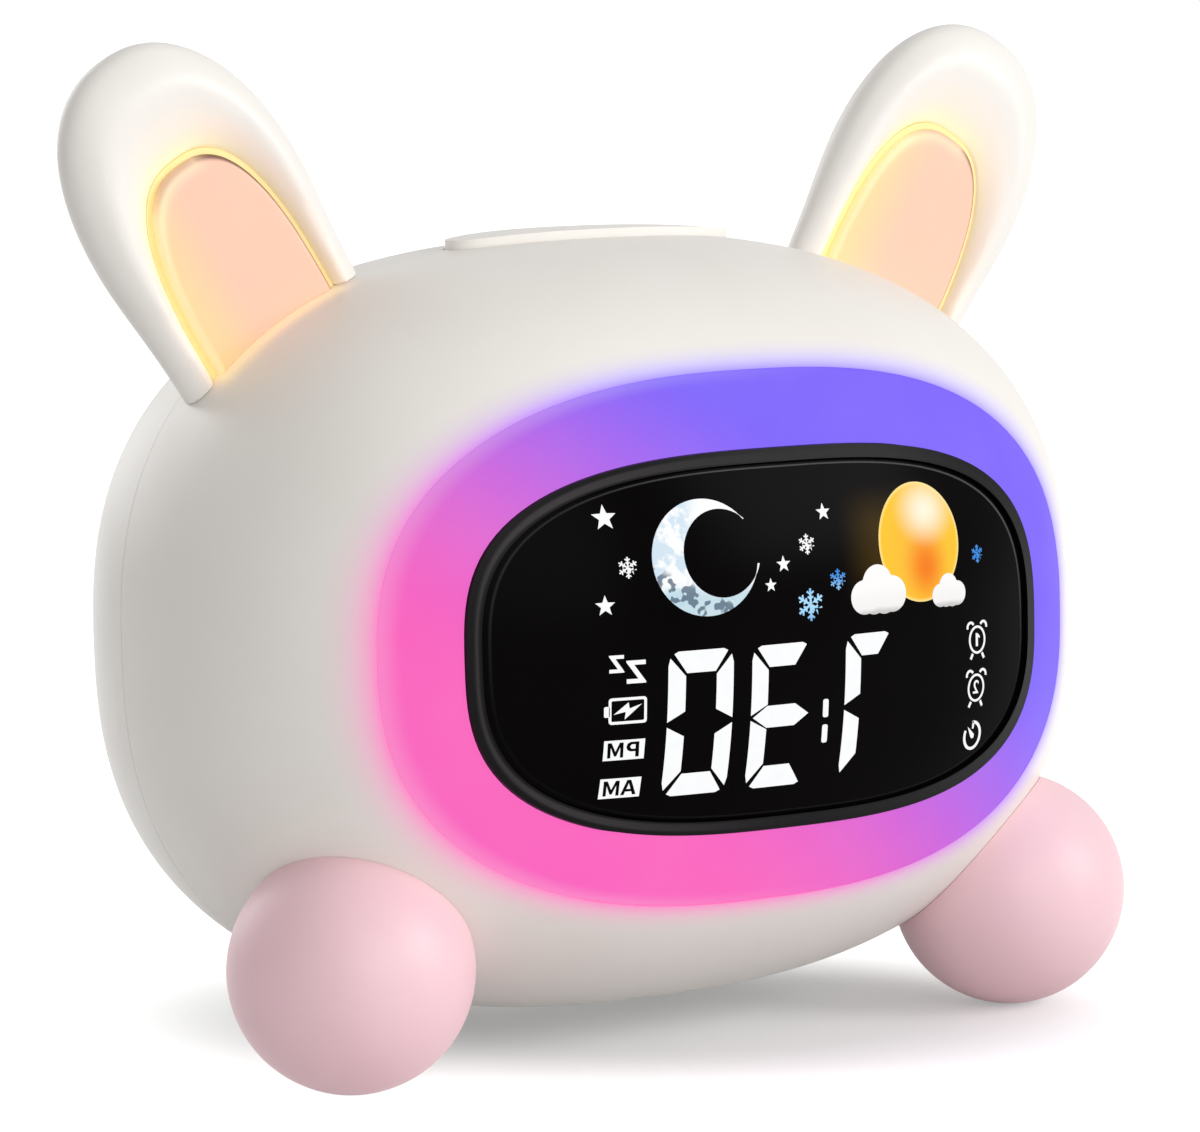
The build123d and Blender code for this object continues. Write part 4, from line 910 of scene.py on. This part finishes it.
def letter_plate(letters, across, up):
    """A plate with two letters cut through it."""
    outlines = [PLATE]
    for letter, left in zip(letters, LETTER_LEFTS):
        for part in LETTERS[letter]:
            outline = [
                (LETTER_TURN * (left + x * LETTER_WIDTH), (y - 0.5) * LETTER_HEIGHT)
                for x, y in part
            ]
            outlines.append(outline)
    return [moved(outline, across, up) for outline in outlines]


def numeral_one(across, up):
    one = [
        (LETTER_TURN * (x - 0.4) * NUMERAL_HEIGHT, (y - 0.5) * NUMERAL_HEIGHT)
        for x, y in NUMERAL_ONE
    ]
    return moved(one, across, up)


def battery_sign(body, nub):
    """A battery's rim with a lightning bolt in it, and its nub beside it."""
    bolt = [(0.1, 1.25), (-2.25, -0.5), (-0.35, -0.15), (-0.5, -1.3), (2.2, 0.9), (0.25, 0.3)]
    return [
        rounded_box(2.8, 1.85, 0.45, body),
        rounded_box(2.42, 1.46, 0.2, body),
        rounded_box(0.42, 0.75, 0.2, nub),
        moved(bolt, *body, 0.92),
    ]


def clock_sign(across, up):
    """A small bell clock: ring, two bells, two feet."""
    bells = []
    for side in (-1, 1):
        bell = arc((side * 1.42, 1.85), (0.72, 0.72), 90 - side * 105, 90 + side * 60, 10)
        bells.append(moved(stroke(bell, 0.36), across, up))
        foot = [(side * 1.05, -2.0), (side * 1.5, -2.75)]
        bells.append(moved(stroke(foot, 0.4), across, up))
    ring = [oval((across, up), (1.85, 2.05)), oval((across, up), (1.53, 1.72))]
    return ring + bells


def timer_sign(across, up):
    """An open ring with its hand and the stop above it."""
    ring = stroke(arc((0, 0), (1.75, 1.95), 95, -205, 44), 0.44)
    hand = [(-1.15, 1.35), (0.35, 0.15), (0.3, -0.35), (-0.1, -0.45), (-0.4, -0.15)]
    stop = [(0.0, 2.15), (0.28, 2.15), (0.28, 1.0), (-0.02, 1.0)]
    outlines = [moved(shape, across, up) for shape in (ring, hand)]
    return outlines + [moved(stop, across - 0.15, up)]


FIRST_ALARM, SECOND_ALARM = (34.7, -2.9), (34.5, -9.9)
STARS = [
    ((-28.8, 18.9), 1.85),
    ((-29.9, 6.8), 1.5),
    ((6.3, 17.6), 1.25),
    ((-1.5, 10.8), 1.2),
    ((-3.9, 8.0), 1.0),
]
WHITE_FLAKES = [((-26.2, 11.9), 1.5), ((2.8, 13.3), 1.45)]
BLUE_FLAKES = [((2.7, 4.8), 2.3), ((7.7, 8.0), 1.5), ((35.4, 9.5), 1.3)]
SLEEP_LETTERS = [(-29.65, -0.1, 2.15, 2.45, 0.5), (-27.15, -0.95, 2.85, 3.2, 0.62)]
CLOUDS = [(14.95, 5.1, 1.0), (28.75, 4.2, 0.68)]

# The parts that are lit in each digit; the others are dark
LEFT_POSTS, RIGHT_POSTS = ["left upper", "left lower"], ["right upper", "right lower"]
FIRST_HOUR = ["top", "bottom"] + LEFT_POSTS + RIGHT_POSTS
SECOND_HOUR = ["top", "middle", "bottom"] + LEFT_POSTS
FIRST_MINUTE = ["top"] + LEFT_POSTS


def make_signs():
    """Everything that shines through the lens, each sign a piece of its own."""
    sheets = {
        "digit_hours_first": digit_outlines(-20.8, -0.2, 10.3, 20.4, FIRST_HOUR),
        "digit_hours_second": digit_outlines(-7.4, -0.35, 10.1, 20.3, SECOND_HOUR),
        "digit_minutes_first": digit_outlines(8.7, 0.0, 8.7, 20.6, FIRST_MINUTE),
        "digit_colon": [rounded_box(0.46, 1.3, 0.3, (5.1, up)) for up in (-10.1, -13.75)],
        "sign_moon_stars": [star(*place) for place in STARS],
        "sign_white_snowflakes": [snowflake(*flake) for flake in WHITE_FLAKES],
        "sign_sleep": [letter_z(*letter) for letter in SLEEP_LETTERS],
        "sign_battery": battery_sign(body=(-27.0, -7.9), nub=(-30.05, -7.95)),
        "sign_first_alarm": clock_sign(*FIRST_ALARM),
        "sign_second_alarm": clock_sign(*SECOND_ALARM),
        "sign_timer": timer_sign(34.3, -16.9),
    }
    for name, outlines in sheets.items():
        press_on_lens(flat_sheet(name, outlines), SIGN_WHITE)
    flakes = [snowflake(*flake) for flake in BLUE_FLAKES]
    press_on_lens(flat_sheet("sign_blue_snowflakes", flakes), SIGN_BLUE)
    press_on_lens(flat_sheet("sign_moon", [crescent()]), MOON)
    press_on_lens(flat_sheet("sign_sun", [oval(SUN_CENTRE, SUN_RADII, 72)]), SUN)
    clouds = [cloud(*place) for place in CLOUDS]
    press_on_lens(flat_sheet("sign_clouds", clouds), CLOUD, lift=0.1)
    plates = {
        "plate_afternoon": letter_plate("PM", -27.4, -13.4),
        "plate_morning": letter_plate("AM", -27.6, -18.8),
        "numeral_first": [numeral_one(*FIRST_ALARM)],
    }
    for name, outlines in plates.items():
        press_on_lens(flat_sheet(name, outlines), SIGN_WHITE)
    numeral = numeral_sheet("numeral_second", "2", SECOND_ALARM, NUMERAL_HEIGHT)
    press_on_lens(numeral, SIGN_WHITE)


make_signs()


# ---- Marks on the rear keys ----
# In millimetres, from the head's centre; the marks are made that size and scaled at the end.
KEY_TOP = 49.35
KEY_COLUMNS, KEY_LEVELS = (-27.0, -14.5, -2.0), (7.5, -3.5)
MARK_WALL = 0.08
MARK_PEN, ARROW_PEN = 0.3, 0.36


def press_on_key(piece, column, level, key):
    """Lays a flat mark on a key's top, read from behind the clock."""
    select_only(piece)
    apply_modifier(piece, "wall", "SOLIDIFY", thickness=MARK_WALL, offset=1)
    turn = Matrix((Vector((-1, 0, 0)), FACE_UP, -FACE_AHEAD)).transposed().to_4x4()
    place = Vector((column, 0, 0)) + FACE_UP * level - FACE_AHEAD * KEY_TOP
    spot = Matrix.Translation(HEAD_CENTRE + place * MM)
    piece.matrix_world = spot @ turn @ Matrix.Scale(MM, 4)
    settle()
    edit_all(bpy.ops.mesh.normals_make_consistent, inside=False)
    cover(piece, KEY_MARK)
    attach(piece, key)


def make_key_marks():
    """A clock, a bell, a moon, a loudspeaker and two arrows, each on the key that it stands for."""
    clock_hands = stroke([(0, 1.0), (0, 0), (0.8, -0.4)], MARK_PEN)
    bell = [(-1.5, -1.0), (-1.1, -0.6), (-1.0, 0.6), (-0.5, 1.3), (0, 1.5)]
    bell += [(-x, y) for x, y in bell[-2::-1]]
    moon = arc((0, 0), (1.6, 1.6), 60, 330, 24) + arc((0.62, 0.36), (1.15, 1.15), 311, 79, 18)
    speaker = [(-1.5, -0.5), (-0.8, -0.5), (-0.1, -1.2), (-0.1, 1.2), (-0.8, 0.5), (-1.5, 0.5)]
    sound = stroke(arc((0, 0), (1.2, 1.2), -45, 45, 10), MARK_PEN)
    chevron = stroke([(-1.2, 0.5), (0, -0.6), (1.2, 0.5)], ARROW_PEN)
    marks = {
        "time_set_key": [oval((0, 0), (1.7, 1.7)), oval((0, 0), (1.38, 1.38)), clock_hands],
        "alarm_set_key": [bell, rounded_box(0.4, 0.2, 0.1, (0, -1.45))],
        "sleep_timer_key": [moon],
        "down_key": [chevron],
        "volume_key": [speaker, sound],
        "up_key": [[(x, -y) for x, y in chevron]],
    }
    places = [(column, level) for level in KEY_LEVELS for column in KEY_COLUMNS]
    for (key, outlines), (column, level) in zip(marks.items(), places):
        press_on_key(flat_sheet("mark_" + key, outlines), column, level, key)


make_key_marks()


# ---- Floor, light and camera ----
WORLD_LIGHT = 0.31
FLOOR_SIZE, FLOOR_CENTRE = 6.0, (0, 1.0, 0)
FLOOR_GREYS = ((0.6, 0.6, 0.6, 1), (0.62, 0.62, 0.62, 1))
# The floor's shaded oval: its centre, and each axis with its half length in millimetres
SHADE_CENTRE = (0.008, -0.004, 0)
SHADE_AXES = (((0.839, -0.545, 0), 95.0), ((-0.545, -0.839, 0), 62.0))
# From which share of the oval to which the floor turns white, and how white at either end
SHADE_FADE = (0.4, 1.15, 0.24, 1.0)
# Name, place, size and power of each lamp
LAMPS = [
    ("key", (1.25, -1.35, 0.8), 0.9, 18.5),
    ("front", (-0.2, -1.5, 0.55), 0.9, 7.5),
    ("top", (0.6, -0.2, 1.6), 1.0, 1.8),
    ("left", (-1.4, -0.5, 0.1), 1.0, 2.6),
    ("behind", (-0.3, 1.5, 0.6), 1.0, 7.0),
]


def seen_directly(tree):
    """1 for rays from the camera, from a mirror or through glass, so they meet plain white."""
    seen = tree.add("LightPath")
    mirrored = tree.math("MAXIMUM", seen.outputs["Is Camera Ray"], seen.outputs["Is Glossy Ray"])
    return tree.math("MAXIMUM", mirrored, seen.outputs["Is Transmission Ray"])


def make_floor():
    """A pale floor that the camera sees fade to plain white away from the clock."""
    bpy.ops.object.select_all(action="DESELECT")
    bpy.ops.mesh.primitive_plane_add(size=FLOOR_SIZE, location=FLOOR_CENTRE)
    floor = bpy.context.object
    floor.name = "floor"
    settle()
    material, tree, sockets = new_material("floor", roughness=0.7)
    tree.put(sockets["Base Color"], tree.mix(tree.noise(tree.place(), 30.0), *FLOOR_GREYS))
    beside = tree.subtract(tree.place(), SHADE_CENTRE)
    shares = [tree.dot(beside, Vector(axis) / (half * MM)) for axis, half in SHADE_AXES]
    reach = tree.math("SQRT", tree.math("ADD", *[tree.times(share, share) for share in shares]))
    white = tree.span(reach, *SHADE_FADE)
    give_off(tree, sockets, WHITE, tree.times(seen_directly(tree), white))
    floor.data.materials.append(material)


def make_world():
    """Soft light from all round; the camera sees plain white behind the clock."""
    world = bpy.data.worlds.new("studio")
    bpy.context.scene.world = world
    world.use_nodes = True
    tree = Tree(world.node_tree)
    background = world.node_tree.nodes["Background"]
    tree.put(background.inputs["Color"], WHITE)
    shown = seen_directly(tree)
    strength = tree.span(shown, 0.0, 1.0, WORLD_LIGHT, 1.0, smooth=False)
    tree.put(background.inputs["Strength"], strength)


def make_lamps():
    for name, place, size, power in LAMPS:
        data = bpy.data.lights.new(name, "AREA")
        data.size = size
        data.energy = power
        lamp = bpy.data.objects.new(name, data)
        bpy.context.scene.collection.objects.link(lamp)
        lamp.location = place
        lamp.rotation_euler = (HEAD_CENTRE - Vector(place)).to_track_quat("-Z", "Y").to_euler()


def make_camera():
    """A long lens to the left of the face, a little above the head's middle."""
    swing, dip = math.radians(33), math.radians(7.4)
    aim = (math.sin(swing) * math.cos(dip), math.cos(swing) * math.cos(dip), -math.sin(dip))
    sight = Vector(aim)
    right = Vector((math.cos(swing), -math.sin(swing), 0))
    up = right.cross(sight)
    distance, aside, above = 839 * MM, 1.7 * MM, 7.4 * MM
    data = bpy.data.cameras.new("camera")
    data.sensor_width = 36
    data.lens = 169.18
    data.clip_start = 0.05
    camera = bpy.data.objects.new("camera", data)
    bpy.context.scene.collection.objects.link(camera)
    turn = Matrix((right, up, -sight)).transposed().to_4x4()
    spot = HEAD_CENTRE - sight * distance + right * aside + up * above
    camera.matrix_world = Matrix.Translation(spot) @ turn
    bpy.context.scene.camera = camera


make_floor()
make_world()
make_lamps()
make_camera()
bpy.context.scene.view_settings.view_transform = "Standard"
